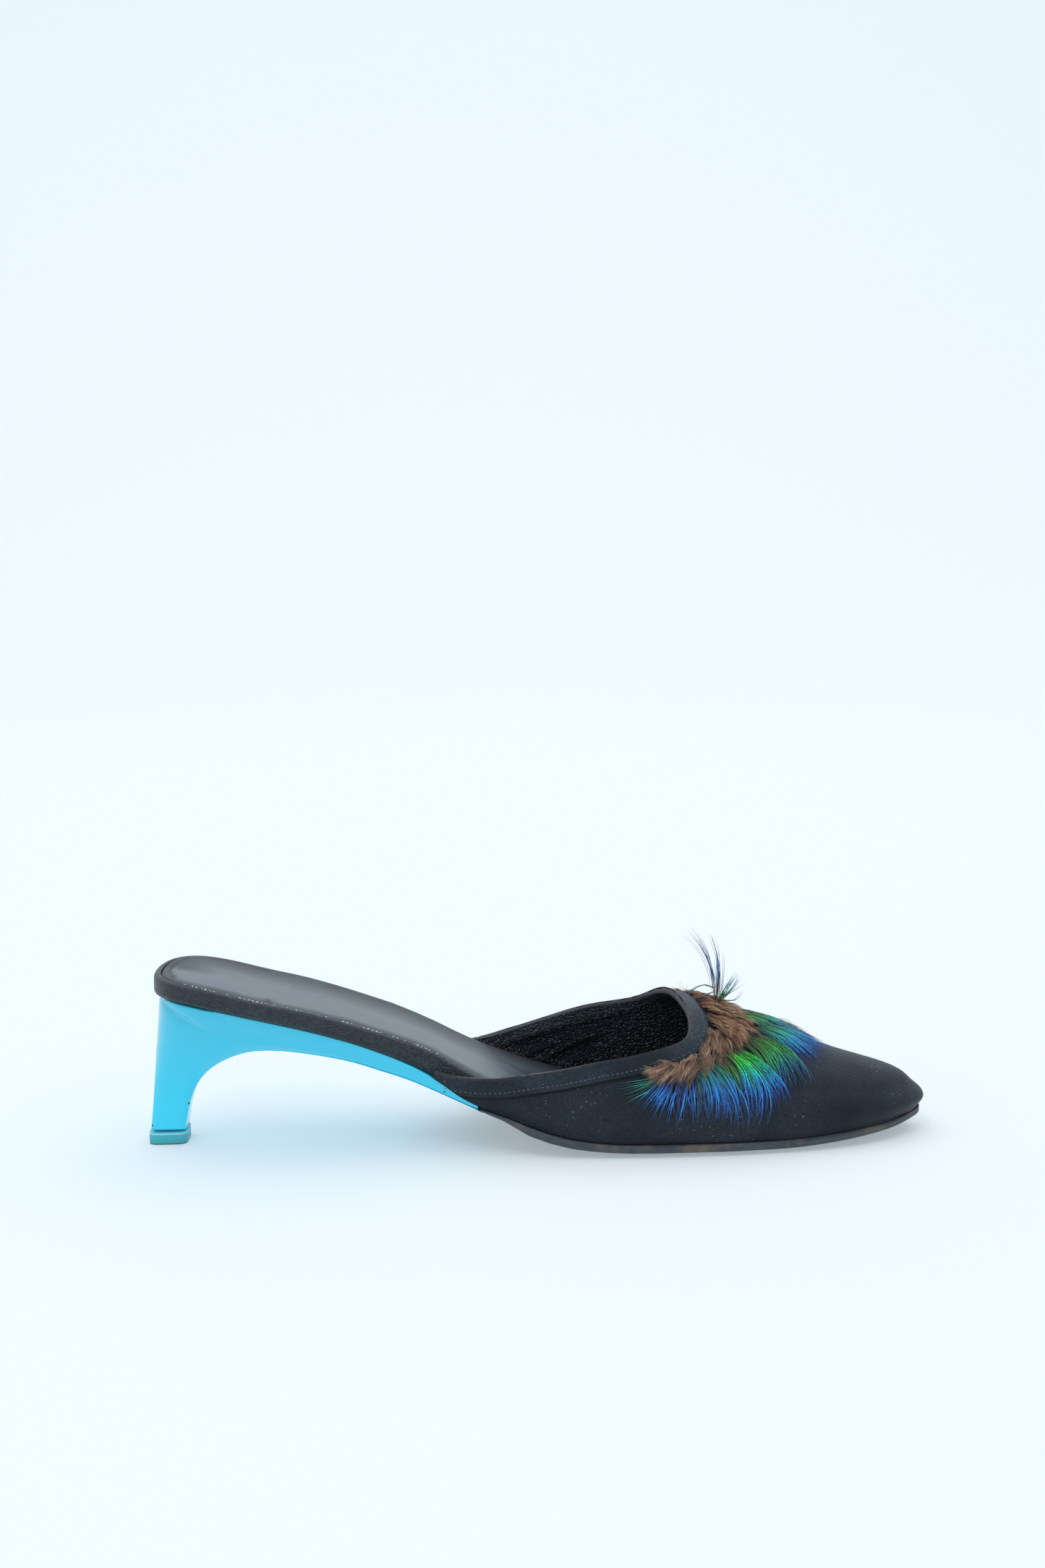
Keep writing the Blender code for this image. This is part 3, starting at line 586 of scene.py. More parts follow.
def sheet_material():
    # Plain pale studio sheet. Painted light: it glows a little of itself so that its shadows stay light
    material, tree, shader = new_material(
        "pale_studio_sheet", 0.8, Specular_IOR_Level=0.1,
        Emission_Strength=0.35, Emission_Color=fixed_colour("sheet glow"),
    )
    place = millimetres(tree)
    weave = node(
        tree, "ShaderNodeTexNoise", (-6, 0), {"Scale": 1 / SHEET_WEAVE, "Detail": 3.0},
        {"Vector": place},
    )
    pale = tuple(0.62 * c for c in colours().floor)
    shade = tuple(0.98 * c for c in pale)
    tone = node(
        tree, "ShaderNodeMix", (-3, 0), {6: (*pale, 1), 7: (*shade, 1)}, {0: weave.outputs["Fac"]},
        data_type="RGBA",
    )
    tree.links.new(tone.outputs[2], shader.inputs["Base Color"])
    return material


# Making pieces

# A CAD node's copy: points this close are one, and two triangles become a quad when they bend and
# skew by no more than these angles. Angles are in degrees
MERGE_DISTANCE = 0.02 * MM
QUAD_BEND = 35
QUAD_SKEW = 80
HARD_ANGLE = 50

# Subdivision draws a shape in. This share of it is given back beforehand
SIZE_HELD = 0.85


def select_only(item):
    """Leaves one object selected and active."""
    bpy.ops.object.select_all(action="DESELECT")
    item.hide_set(False)
    item.select_set(True)
    bpy.context.view_layer.objects.active = item


def add_modifier(item, kind, **settings):
    """Adds a modifier with its settings."""
    modifier = item.modifiers.new(kind.title(), kind)
    for name, value in settings.items():
        setattr(modifier, name, value)
    return modifier


def apply_modifier(item, modifier):
    select_only(item)
    bpy.ops.object.modifier_apply(modifier=modifier.name)


def new_piece(name, mesh):
    """Puts a mesh into the scene as a piece and selects it."""
    item = bpy.data.objects.new(name, mesh)
    bpy.context.scene.collection.objects.link(item)
    select_only(item)
    return item


def put_away(item, node_names):
    """Hands a finished piece to the frame."""
    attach(item, "root")
    if node_names:
        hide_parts(*node_names)


def merged_copy(node_name, name, hard_angle, hold):
    """Copies a CAD node, merges it, turns its triangles back to quads and holds its hard edges."""
    mesh = NODES[node_name].data.copy()
    mesh.materials.clear()
    item = new_piece(name, mesh)
    bpy.ops.mesh.customdata_custom_splitnormals_clear()
    bpy.ops.object.mode_set(mode="EDIT")
    bpy.ops.mesh.select_all(action="SELECT")
    bpy.ops.mesh.remove_doubles(threshold=MERGE_DISTANCE)
    bpy.ops.mesh.tris_convert_to_quads(
        face_threshold=math.radians(QUAD_BEND), shape_threshold=math.radians(QUAD_SKEW)
    )
    bpy.ops.mesh.select_all(action="DESELECT")
    bpy.ops.mesh.edges_select_sharp(sharpness=math.radians(hard_angle))
    bpy.ops.transform.edge_crease(value=hold)
    bpy.ops.object.mode_set(mode="OBJECT")
    return item


def smooth_piece(item):
    """Subdivides a piece twice, first moving its points out so that it keeps its size."""
    modifier = add_modifier(item, "SUBSURF", levels=2, render_levels=2)
    given = coordinates(item)
    evaluated = item.evaluated_get(bpy.context.evaluated_depsgraph_get())
    pulled = np.array([list(vertex.co) for vertex in evaluated.to_mesh().vertices[:len(given)]])
    evaluated.to_mesh_clear()
    set_coordinates(item, given + SIZE_HELD * (given - pulled))
    apply_modifier(item, modifier)
    bpy.ops.object.shade_smooth_by_angle(angle=math.radians(HARD_ANGLE))


def coordinates(item):
    """A mesh's points as an array."""
    points = np.zeros(len(item.data.vertices) * 3)
    item.data.vertices.foreach_get("co", points)
    return points.reshape(-1, 3)


def set_coordinates(item, points):
    item.data.vertices.foreach_set("co", np.ascontiguousarray(points).ravel())
    item.data.update()


def store_values(item, name, values):
    """Keeps one value for each point, which the piece's material reads."""
    item.data.attributes.new(name, "FLOAT", "POINT").data.foreach_set("value", values)


def surface_of(item, zone=None):
    """A search tree over a piece's faces, or over those of one zone alone."""
    faces = [
        tuple(face.vertices) for face in item.data.polygons if zone is None or face.material_index == zone
    ]
    return BVHTree.FromPolygons([vertex.co for vertex in item.data.vertices], faces)


def turned(forward, side, up):
    """A rotation whose axes are these three."""
    return Matrix((forward, side, up)).transposed().to_4x4()


def satin_ground():
    """The satin's outer face, on which the band, the stitches and the feathers lie."""
    return surface_of(bpy.data.objects["satin_upper"], OUTER)


def outward(ground, here, along):
    """The direction on the satin that leads away from the topline."""
    normal = ground.find_nearest(here)[1]
    across = along.cross(normal)
    one_way, other_way = (ground.find_nearest(here + across * step * MM)[3] for step in (4, -4))
    return across if one_way < other_way else -across


def walk_surface(ground, start, heading, distance, steps):
    """Steps along a surface and returns the places, their normals and the last heading."""
    places = []
    normals = []
    where = start
    for step in range(steps + 1):
        if step:
            where = where + heading * (distance / steps)
        where, normal, _, _ = ground.find_nearest(where)
        heading = (heading - normal * heading.dot(normal)).normalized()
        places.append(where)
        normals.append(normal)
    return places, normals, heading


def islands(item, hard_angle):
    """Splits a mesh's faces into patches that hard edges part. Returns lists of face numbers."""
    shape = bmesh.new()
    shape.from_mesh(item.data)
    shape.faces.ensure_lookup_table()
    seen = set()
    patches = []
    for start in shape.faces:
        if start.index in seen:
            continue
        seen.add(start.index)
        patch = []
        queue = [start]
        while queue:
            face = queue.pop()
            patch.append(face.index)
            for line in face.edges:
                if line.calc_face_angle(0) > math.radians(hard_angle):
                    continue
                for other in line.link_faces:
                    if other.index not in seen:
                        seen.add(other.index)
                        queue.append(other)
        patches.append(patch)
    shape.free()
    return patches


# The upper

# Its material slots: satin outside, lining inside, satin on the edges
OUTER, INNER, RIM = range(3)

TOPLINE_POINTS = 480
# The wings' ends lie this close to the upper's back
WING_END = 3.0 * MM


def zone_upper(item):
    """Gives the upper's outer face, inner face and edges a material each."""
    first, second = sorted(islands(item, HARD_ANGLE), key=len, reverse=True)[:2]
    faces = item.data.polygons
    reach = [max(faces[number].center.x for number in patch) for patch in (first, second)]
    outer, inner = (first, second) if reach[0] > reach[1] else (second, first)
    for face in faces:
        face.material_index = RIM
    for number in outer:
        faces[number].material_index = OUTER
    for number in inner:
        faces[number].material_index = INNER


def topline_of(item):
    """The upper's topline, read from the border of its outer face, as a fine ordered line."""
    shape = bmesh.new()
    shape.from_mesh(item.data)
    beside = {}
    places = {}
    for line in shape.edges:
        zones = {face.material_index for face in line.link_faces}
        if len(zones) == 2 and OUTER in zones:
            a, b = (vertex.index for vertex in line.verts)
            beside.setdefault(a, []).append(b)
            beside.setdefault(b, []).append(a)
            places[a], places[b] = (Vector(vertex.co) for vertex in line.verts)
    shape.free()
    back = min(place.x for place in places.values()) + WING_END
    wings = [
        [key for key in places if places[key].x < back and places[key].y * side > 0] for side in (-1, 1)
    ]
    near, far = (max(wing, key=lambda key: places[key].z) for wing in wings)
    chains = []
    for first in beside[near]:
        chain = [near, first]
        while chain[-1] != far:
            chain.append(next(key for key in beside[chain[-1]] if key != chain[-2]))
        chains.append(chain)
    chain = min(chains, key=lambda keys: max(places[key].x for key in keys))
    rough = np.array([list(places[key]) for key in chain])
    run = distances(rough)
    fine = np.array([point_at(rough, run, mark) for mark in np.linspace(0, run[-1], TOPLINE_POINTS)])
    padded = np.pad(fine, ((4, 4), (0, 0)), mode="edge")
    return np.column_stack([averaged(padded[:, axis], 9) for axis in range(3)])


def mark_from_edge(item, line):
    """Stores how far each point lies from the topline, in millimetres."""
    tree = nearest_of(line)
    store_values(item, "from_edge", [tree.find(vertex.co)[2] / MM for vertex in item.data.vertices])


# Folds of the lining on the outer side: both ends by X and Z in millimetres, height and half width
LINING_FOLDS = (
    # x  z  x  z  height  half width
    (108.0, 21.0, 162.0, 31.8, 0.90, 1.2),
    (114.0, 15.6, 138.0, 21.4, 0.85, 1.1),
    (121.0, 12.4, 149.0, 24.4, 0.95, 1.2),
    (124.5, 10.8, 152.0, 21.2, -0.75, 1.3),
    (127.5, 9.4, 148.0, 15.6, 0.80, 1.2),
)

# Soft troughs and ridges of the satin, as above, on the side that the sign of Y names
SATIN_FOLDS = (
    # side  x  z  x  z  height  half width
    (-1, 104.0, 14.0, 132.0, 7.5, -0.35, 3.0),
    (-1, 120.0, 13.0, 150.0, 19.0, 0.30, 3.5),
    (-1, 205.0, 17.0, 238.0, 11.0, -0.30, 3.5),
    (-1, 212.0, 22.0, 242.0, 17.0, 0.25, 3.0),
    (1, 104.0, 14.0, 130.0, 8.0, -0.35, 3.0),
    (1, 124.0, 12.0, 152.0, 18.0, 0.30, 3.5),
)

# Folds are pressed in only this far out from the shoe's middle
LINING_FOLDS_FROM = 12.0 * MM
SATIN_FOLDS_FROM = 8.0 * MM


def ridge(points, x0, z0, x1, z1, half_width):
    """How strongly a straight ridge in the X-Z plane lifts each point, from 0 to 1."""
    start = np.array((x0, z0)) * MM
    run = np.array((x1, z1)) * MM - start
    length = np.linalg.norm(run)
    away = points[:, (0, 2)] - start
    along = away @ run / length ** 2
    across = (away[:, 0] * run[1] - away[:, 1] * run[0]) / length
    fade = np.sin(np.pi * np.clip(along, 0, 1)) ** 0.6
    return np.exp(-(across / (half_width * MM)) ** 2) * fade


def crease_upper(item):
    """Presses the main folds into the satin and the lining."""
    points = coordinates(item)
    normals = np.zeros(len(points) * 3)
    item.data.vertices.foreach_get("normal", normals)
    normals = normals.reshape(-1, 3)
    zone = np.full(len(points), RIM)
    for face in item.data.polygons:
        for corner in face.vertices:
            if zone[corner] == RIM or face.material_index == RIM:
                zone[corner] = face.material_index
    shift = np.zeros(len(points))
    lining = (zone == INNER) & (points[:, 1] > LINING_FOLDS_FROM)
    for x0, z0, x1, z1, height, half_width in LINING_FOLDS:
        shift += lining * height * MM * ridge(points, x0, z0, x1, z1, half_width)
    for side, x0, z0, x1, z1, height, half_width in SATIN_FOLDS:
        chosen = (zone == OUTER) & (points[:, 1] * side > SATIN_FOLDS_FROM)
        shift += chosen * height * MM * ridge(points, x0, z0, x1, z1, half_width)
    set_coordinates(item, points + normals * shift[:, None])


def dress_upper():
    """The satin upper with its kid lining."""
    item = merged_copy("upper", "satin_upper", hard_angle=HARD_ANGLE, hold=0.75)
    satin = satin_material("black_satin_weave", gain=1.0)
    lining = grained_leather(
        "kid_lining", colours().lining, KID_PEBBLE, roughness=0.27, depth=0.8, light=1.6, strip=True
    )
    for material in (satin, lining, satin):
        item.data.materials.append(material)
    zone_upper(item)
    line = topline_of(item)
    smooth_piece(item)
    mark_from_edge(item, line)
    crease_upper(item)
    put_away(item, ["upper"])
    return line


# The band's points that lie this close to the CAD upper are its inside, and go a little into the satin
BAND_INSIDE = 0.6 * MM
BAND_TUCK = 0.25 * MM


def dress_band(line):
    """The topline band, laid close on the satin, with its own soft edge."""
    item = merged_copy("topline_band", "topline_binding", hard_angle=HARD_ANGLE, hold=0.6)
    # painted light: the band is a lit copy of the vamp's satin, half again as light
    item.data.materials.append(satin_material("band_satin_painted_light", gain=1.5))
    smooth_piece(item)
    ground = satin_ground()
    cad = surface_of(NODES["upper"])
    moved = []
    for point in coordinates(item):
        where = Vector(point)
        inside = cad.find_nearest(where)[3] < BAND_INSIDE
        place, normal, _, _ = ground.find_nearest(where)
        moved.append(place + normal * (-BAND_TUCK if inside else sizes().lap))
    set_coordinates(item, np.array(moved))
    mark_from_edge(item, line)
    put_away(item, ["topline_band"])


# The stitches start and end this far from the topline's ends, and run this far above the band's seam
STITCH_MARGIN = 4.0 * MM
SEAM_ALLOWANCE = 1.6 * MM
STITCH_TILT = 0.12


def stitch_template():
    """One stitch: a short rounded bar along X, made once and copied."""
    bpy.ops.object.select_all(action="DESELECT")
    bpy.ops.mesh.primitive_uv_sphere_add(segments=6, ring_count=4, radius=0.5)
    ball = bpy.context.object
    bpy.ops.object.mode_set(mode="EDIT")
    bpy.ops.transform.resize(value=(sizes().stitch_length, sizes().stitch_width, sizes().stitch_width))
    bpy.ops.object.mode_set(mode="OBJECT")
    mesh = ball.data
    bpy.data.objects.remove(ball)
    return mesh


def joined_copies(name, mesh, matrices):
    """Copies one mesh to many places in a single piece."""
    shape = bmesh.new()
    for matrix in matrices:
        before = len(shape.verts)
        shape.from_mesh(mesh)
        shape.verts.ensure_lookup_table()
        bmesh.ops.transform(shape, matrix=matrix, verts=shape.verts[before:])
    made = bpy.data.meshes.new(name)
    shape.to_mesh(made)
    shape.free()
    item = new_piece(name, made)
    bpy.ops.object.shade_smooth()
    return item


def dress_stitches(line):
    """The row of stitches above the band's seam, all round the topline."""
    ground = satin_ground()
    run = distances(line)
    chance = np.random.default_rng(3)
    matrices = []
    for mark in np.arange(STITCH_MARGIN, run[-1] - STITCH_MARGIN, sizes().stitch_pitch):
        here = point_at(line, run, mark)
        along = (point_at(line, run, mark + 1.5 * MM) - here).normalized()
        reach = sizes().band_width - SEAM_ALLOWANCE
        places, normals, _ = walk_surface(ground, here, outward(ground, here, along), reach, 6)
        up = normals[-1]
        forward = (along - up * along.dot(up)).normalized()
        tilt = Matrix.Rotation(chance.uniform(-STITCH_TILT, STITCH_TILT), 4, "Z")
        sewn = Matrix.Translation(places[-1] + up * (sizes().lap + 0.02 * MM))
        matrices.append(sewn @ turned(forward, up.cross(forward), up) @ tilt)
    item = joined_copies("band_stitches", stitch_template(), matrices)
    item.data.materials.append(thread_material())
    put_away(item, [])


# The insole

# How far the painted shade reaches in from the sock's border, in millimetres, on the outer and on the inner
# side
DARK_OUTER = 19.0
DARK_INNER = 4.0
# Where the painted dark line of the pressed groove lies from the border, and its half width, in millimetres
PRESSED_LINE = 2.6
PRESSED_HALF = 0.7

# The crimped nibs: where they start and end by X, the distance between them, and the share left out
NIBS_START = 6.0 * MM
NIBS_END = 100.0 * MM
NIB_PITCH = 1.4 * MM
NIBS_MISSING = 0.2
BORDER_STEP = 1.2 * MM


def rim_points(item):
    """Points spaced along a piece's hard edges."""
    shape = bmesh.new()
    shape.from_mesh(item.data)
    found = [
        line.verts[0].co.lerp(line.verts[1].co, step / 8)
        for line in shape.edges if line.calc_face_angle(0) > math.radians(HARD_ANGLE) for step in range(8)
    ]
    shape.free()
    return found


def shade_rim(item, border):
    """Stores the painted shade near the sock's border: wide on the outer side, a pressed line on both."""
    tree = nearest_of(border)
    shades = []
    for vertex in item.data.vertices:
        away = tree.find(vertex.co)[2] / MM
        soft = max(0.0, 1 - away / (DARK_OUTER if vertex.co.y > 0 else DARK_INNER))
        pressed = max(0.0, 1 - abs(away - PRESSED_LINE) / PRESSED_HALF)
        shades.append(min(1.0, 0.85 * soft + 0.6 * pressed))
    store_values(item, "rim_shade", shades)


def inner_border(border):
    """The sock's border on the inner side, as an ordered line."""
    outermost = {}
    for point in border:
        step = round(point.x / BORDER_STEP)
        if point.y < 0:
            outermost[step] = min(outermost.get(step, point), point, key=lambda spot: (spot.y, -spot.z))
    rough = [outermost[step] for step in sorted(outermost)]
    kept = np.array([list(point) for point in rough if NIBS_START < point.x < NIBS_END])
    return np.column_stack([averaged(kept[:, axis], 5) for axis in range(3)])


def dress_nibs(border, board):
    """The crimped nibs that stand along the sock's border on the inner side."""
    line = inner_border(border)
    run = distances(line)
    ground = surface_of(board)
    chance = np.random.default_rng(5)
    matrices = []
    for mark in np.arange(1.0 * MM, run[-1] - 2.0 * MM, NIB_PITCH):
        if chance.random() < NIBS_MISSING:
            continue
        here = point_at(line, run, mark)
        forward = (point_at(line, run, mark + 1.0 * MM) - here).normalized()
        side = Vector((0, 0, 1)).cross(forward).normalized()
        up = forward.cross(side)
        size = Matrix.Diagonal((chance.uniform(0.6, 1.3), 1.6, 1.4, 1))
        lean = Matrix.Rotation(chance.uniform(-0.35, 0.35), 4, "Z")
        above = here - side * chance.uniform(0.7, 1.0) * MM + Vector((0, 0, 10.0 * MM))
        place = ground.ray_cast(above, Vector((0, 0, -1)))[0]
        matrices.append(Matrix.Translation(place + up * 0.05 * MM) @ turned(forward, side, up) @ lean @ size)
    item = joined_copies("sock_gimping", stitch_template(), matrices)
    item.data.materials.append(nib_material())
    put_away(item, [])


def dress_insole():
    """The insole board's leather edge, the polished sock in it and the nibs round the sock."""
    board = merged_copy("footbed", "insole_board", hard_angle=HARD_ANGLE, hold=0.7)
    leather = grained_leather(
        "board_leather", colours().board, BOARD_PEBBLE, roughness=0.36, depth=0.3, light=1.5
    )
    board.data.materials.append(leather)
    smooth_piece(board)
    put_away(board, ["footbed"])
    sock = merged_copy("sock", "insole_sock", hard_angle=60, hold=0.6)
    sock.data.materials.append(sock_material())
    border = rim_points(sock)
    smooth_piece(sock)
    shade_rim(sock, border)
    dress_nibs(border, board)
    put_away(sock, ["sock"])


# The sole and the heel

def dress_sole():
    """The outsole, kept from sinking into the floor."""
    item = merged_copy("outsole", "stained_outsole", hard_angle=45, hold=0.85)
    item.data.materials.append(sole_material())
    smooth_piece(item)
    points = coordinates(item)
    points[:, 2] = np.maximum(points[:, 2], 0)
    set_coordinates(item, points)
    put_away(item, ["outsole"])


# The corner where the post's sides run out under the seat: its reach by X and by Z
CORNER_X = (-4.0 * MM, 20.0 * MM)
CORNER_Z = (33.0 * MM, 46.3 * MM)


def ease_corner(heel):
    """Rubs the corner under the seat smooth."""
    for vertex in heel.data.vertices:
        vertex.select = CORNER_X[0] < vertex.co.x < CORNER_X[1] and CORNER_Z[0] < vertex.co.z < CORNER_Z[1]
    select_only(heel)
    bpy.ops.object.mode_set(mode="EDIT")
    bpy.context.tool_settings.mesh_select_mode = (True, False, False)
    bpy.ops.mesh.vertices_smooth(factor=0.5, repeat=14)
    bpy.ops.object.mode_set(mode="OBJECT")


def dress_heel():
    """The lacquered heel and its rubber top piece."""
    heel = merged_copy("heel", "lacquered_heel", hard_angle=HARD_ANGLE, hold=1.0)
    heel.data.materials.append(lacquer_material())
    smooth_piece(heel)
    ease_corner(heel)
    put_away(heel, ["heel"])
    lift = merged_copy("top_lift", "rubber_top_piece", hard_angle=HARD_ANGLE, hold=0.0)
    lift.data.materials.append(rubber_material())
    rounding = add_modifier(
        lift, "BEVEL", width=0.3 * MM, segments=2, limit_method="ANGLE", angle_limit=math.radians(HARD_ANGLE)
    )
    apply_modifier(lift, rounding)
    bpy.ops.object.shade_smooth_by_angle(angle=math.radians(40))
    put_away(lift, ["top_lift"])


# Feathers

def barb_template(rings):
    """One barb: a thin three-sided spike cut into rings, made once and bent for each copy.

    Returns each point's height from 0 to 1, whether it has any width, its angle, and the faces.
    """
    bpy.ops.object.select_all(action="DESELECT")
    bpy.ops.mesh.primitive_cone_add(vertices=3, radius1=1, radius2=0, depth=1, location=(0, 0, 0.5))
    spike = bpy.context.object
    bpy.ops.object.transform_apply(location=True, rotation=False, scale=False)
    bpy.ops.object.mode_set(mode="EDIT")
    for ring in range(1, rings):
        bpy.ops.mesh.select_all(action="SELECT")
        bpy.ops.mesh.bisect(plane_co=(0, 0, ring / rings), plane_no=(0, 0, 1))
    bpy.ops.object.mode_set(mode="OBJECT")
    points = coordinates(spike)
    faces = [tuple(face.vertices) for face in spike.data.polygons]
    bpy.data.objects.remove(spike)
    wide = np.linalg.norm(points[:, :2], axis=1) > 1e-6
    return np.round(points[:, 2], 4), wide * 1.0, np.arctan2(points[:, 1], points[:, 0]), faces


def unit_rows(rows):
    """The rows of an array, each made one long."""
    return rows / np.maximum(np.linalg.norm(rows, axis=1, keepdims=True), 1e-9)


class Plumage:
    """Collects bent barbs and writes them as one piece."""

    def __init__(self, rings):
        self.height, self.wide, self.angle, self.faces = barb_template(rings)
        self.points = []
        self.tints = []
        self.shapes = []
        self.count = 0

    def spread(self, rows):
        """Values given at even steps from root to tip, read at the template's points."""
        rows = np.asarray(rows)
        steps = np.linspace(0, 1, len(rows))
        return np.column_stack([np.interp(self.height, steps, column) for column in rows.T])

    def add(self, path, normals, width, stops, beads=0.0, flat=0.6):
        """Bends the template along a path. Stops are colours spaced evenly from root to tip."""
        place = self.spread(path)
        forward = unit_rows(self.spread(np.gradient(np.asarray(path), axis=0)))
        side = unit_rows(np.cross(self.spread(normals), forward))
        up = np.cross(forward, side)
        # slim at the root, widest in its lower half, with a fine tip and small knots along it
        half = 0.55 + 0.45 * np.sin(np.pi * np.clip(self.height * 1.1 + 0.15, 0, 1))
        half *= 1 - 0.75 * self.height ** 3
        half *= 1 + beads * np.sin(self.height * 60)
        half *= self.wide * width / 2
        across = side * (np.cos(self.angle) * half)[:, None]
        rise = up * (np.sin(self.angle) * half * flat)[:, None]
        self.points.append(place + across + rise)
        self.tints.append(np.column_stack((self.spread(stops), np.ones(len(place)))))
        self.shapes.extend(tuple(corner + self.count for corner in face) for face in self.faces)
        self.count += len(place)

    def write(self, name, material):
        """Makes one piece of all that was added."""
        mesh = bpy.data.meshes.new(name)
        mesh.from_pydata(np.concatenate(self.points).tolist(), [], self.shapes)
        store = mesh.attributes.new("tint", "FLOAT_COLOR", "POINT")
        store.data.foreach_set("color", np.concatenate(self.tints).ravel())
        mesh.materials.append(material)
        item = new_piece(name, mesh)
        bpy.ops.object.shade_smooth()
        return item


def glowing(ladder, glow):
    """A row of colours, all made brighter or darker."""
    return [[channel * glow for channel in stop] for stop in ladder]


# Colours of the barbs from root to tip
FAN_SHADES = {
    "thin_green": ("#22302E", "#1F7A66", "#2E9F8C", "#1B6A68"),
    "deep_blue": ("#101226", "#14306C", "#1268C0", "#1E98F0", "#1878CC", "#123E86"),
    "navy": ("#0E1020", "#141E44", "#1A3A80", "#1C4E9E", "#142A5A"),
    "teal_blue": ("#16262A", "#1E8C7A", "#1E8FC0", "#2A90F0", "#2478E0", "#174A9A"),
    "teal_dark": ("#141E22", "#1A5A54", "#1C6C70", "#1C6A8C", "#15405E"),
    "olive": ("#3E342A", "#4A5A2C", "#3A8A3A", "#1F8F78", "#1A6A9A", "#15306A"),
    "bright": ("#3A5A24", "#3ECF3E", "#2AD07A", "#1FA8D8", "#2A8CF0", "#2474E0", "#1A56B0"),
    "green_teal": ("#33362A", "#3E8A3A", "#2FA64A", "#1C9A82", "#1C7EA4", "#16305A"),
    "crest": ("#24342E", "#1E7A5E", "#1FA29A", "#2190C8", "#1F5CB8", "#142A66"),
    "crest_blue": ("#101A30", "#16387A", "#1F62B4", "#1C4C92", "#121E46"),
    "top_green": ("#3E4A34", "#4C8A44", "#3F9A6A", "#2A8E94", "#3A6A84"),
    "wisp": ("#6A6258", "#8A8880", "#A0A09A"),
}

# The fans of the spray on the inner side, in millimetres: the ends of the line that the barbs
# leave and of the line that they reach, how far they bow ahead, their lift and their number
FANS = (
    # shade  root a  root b  tip a  tip b  bow  lift  number
    ("thin_green", (161, -29, 26), (162, -29, 25), (144, -29, 24), (147, -32, 16), 1.2, 0.8, 9),
    ("navy", (160, -28, 26), (172, -27, 26), (157, -32, 13), (178, -32, 10), 0.0, 0.8, 44),
    ("deep_blue", (161, -29, 26), (165, -28, 26), (152, -31, 18), (158, -32, 12), 0.3, 1.4, 15),
    ("deep_blue", (164, -28, 26), (172, -27, 26), (157, -32, 13), (172, -32, 9), 0.2, 1.6, 24),
    ("teal_dark", (171, -26, 27), (183, -23, 30), (172, -32, 12), (193, -31, 12), 1.0, 0.8, 60),
    ("teal_blue", (171, -27, 28), (176, -26, 29), (174, -32, 12), (181, -32, 11), 2.0, 2.0, 26),
    ("teal_blue", (173, -26, 29), (178, -25, 29), (180, -32, 11), (188, -32, 9), 2.8, 2.4, 34),
    ("olive", (177, -25, 29), (182, -23, 30), (180, -30, 18), (189, -29, 17), 1.2, 2.2, 34),
    ("navy", (181, -23, 30), (187, -20, 31), (188, -32, 10), (205, -27, 15), 2.5, 1.2, 44),
    ("bright", (181, -23, 31), (185, -21, 31), (187, -32, 11), (193, -32, 10), 4.0, 2.4, 30),
    ("bright", (182, -23, 31), (187, -20, 31), (193, -31, 13), (203, -27, 17), 3.8, 2.8, 40),
    ("navy", (189, -16, 32), (196, -9, 33), (196, -30, 15), (212, -23, 20), 2.0, 1.0, 44),
    ("green_teal", (188, -17, 32), (193, -13, 33), (196, -29, 17), (203, -26, 19), 2.2, 2.0, 40),
    ("green_teal", (190, -14, 33), (196, -10, 33), (202, -26, 19), (210, -23, 21), 2.6, 2.2, 40),
    ("crest_blue", (194, -8, 34), (200, 1, 33), (208, -21, 22), (221, -7, 25), 1.0, 1.4, 50),
    ("crest", (193, -8, 35), (197, -4, 35), (208, -20, 23), (216, -15, 24), 1.4, 2.2, 40),
    ("crest", (195, -5, 35), (200, 1, 34), (215, -15, 24), (221, -4, 25), 0.8, 2.2, 54),
    ("top_green", (188, -3, 37), (192, 6, 37), (203, -4, 31), (209, 6, 31), 0.5, 2.6, 60),
    ("crest_blue", (195, 1, 34), (196, 10, 34), (219, -4, 26), (219, 12, 26), 0.5, 1.4, 40),
    ("crest", (194, 2, 35), (196, 9, 35), (216, -2, 27), (216, 10, 27), 0.5, 2.0, 36),
    ("wisp", (200, 2, 33), (202, 8, 33), (212, 0, 30), (219, 9, 28), 0.4, 3.4, 12),
)

# Fans that the outer side has none of
INNER_FANS = ("top_green", "wisp")
# Fans whose barbs are thinner, and how much
THIN_FANS = ("thin_green", "wisp")
THIN_SHARE = 0.75
# The outer side's fans are the inner side's, mirrored: y becomes MIRROR_Y less this share of y
MIRROR_Y = 11.0 * MM
MIRROR_SHARE = 0.97
MIRROR_RISE = 3.0 * MM
# How far the barbs lie above the satin, besides their lift
FAN_CLEARANCE = 0.6 * MM
FAN_STEPS = 12


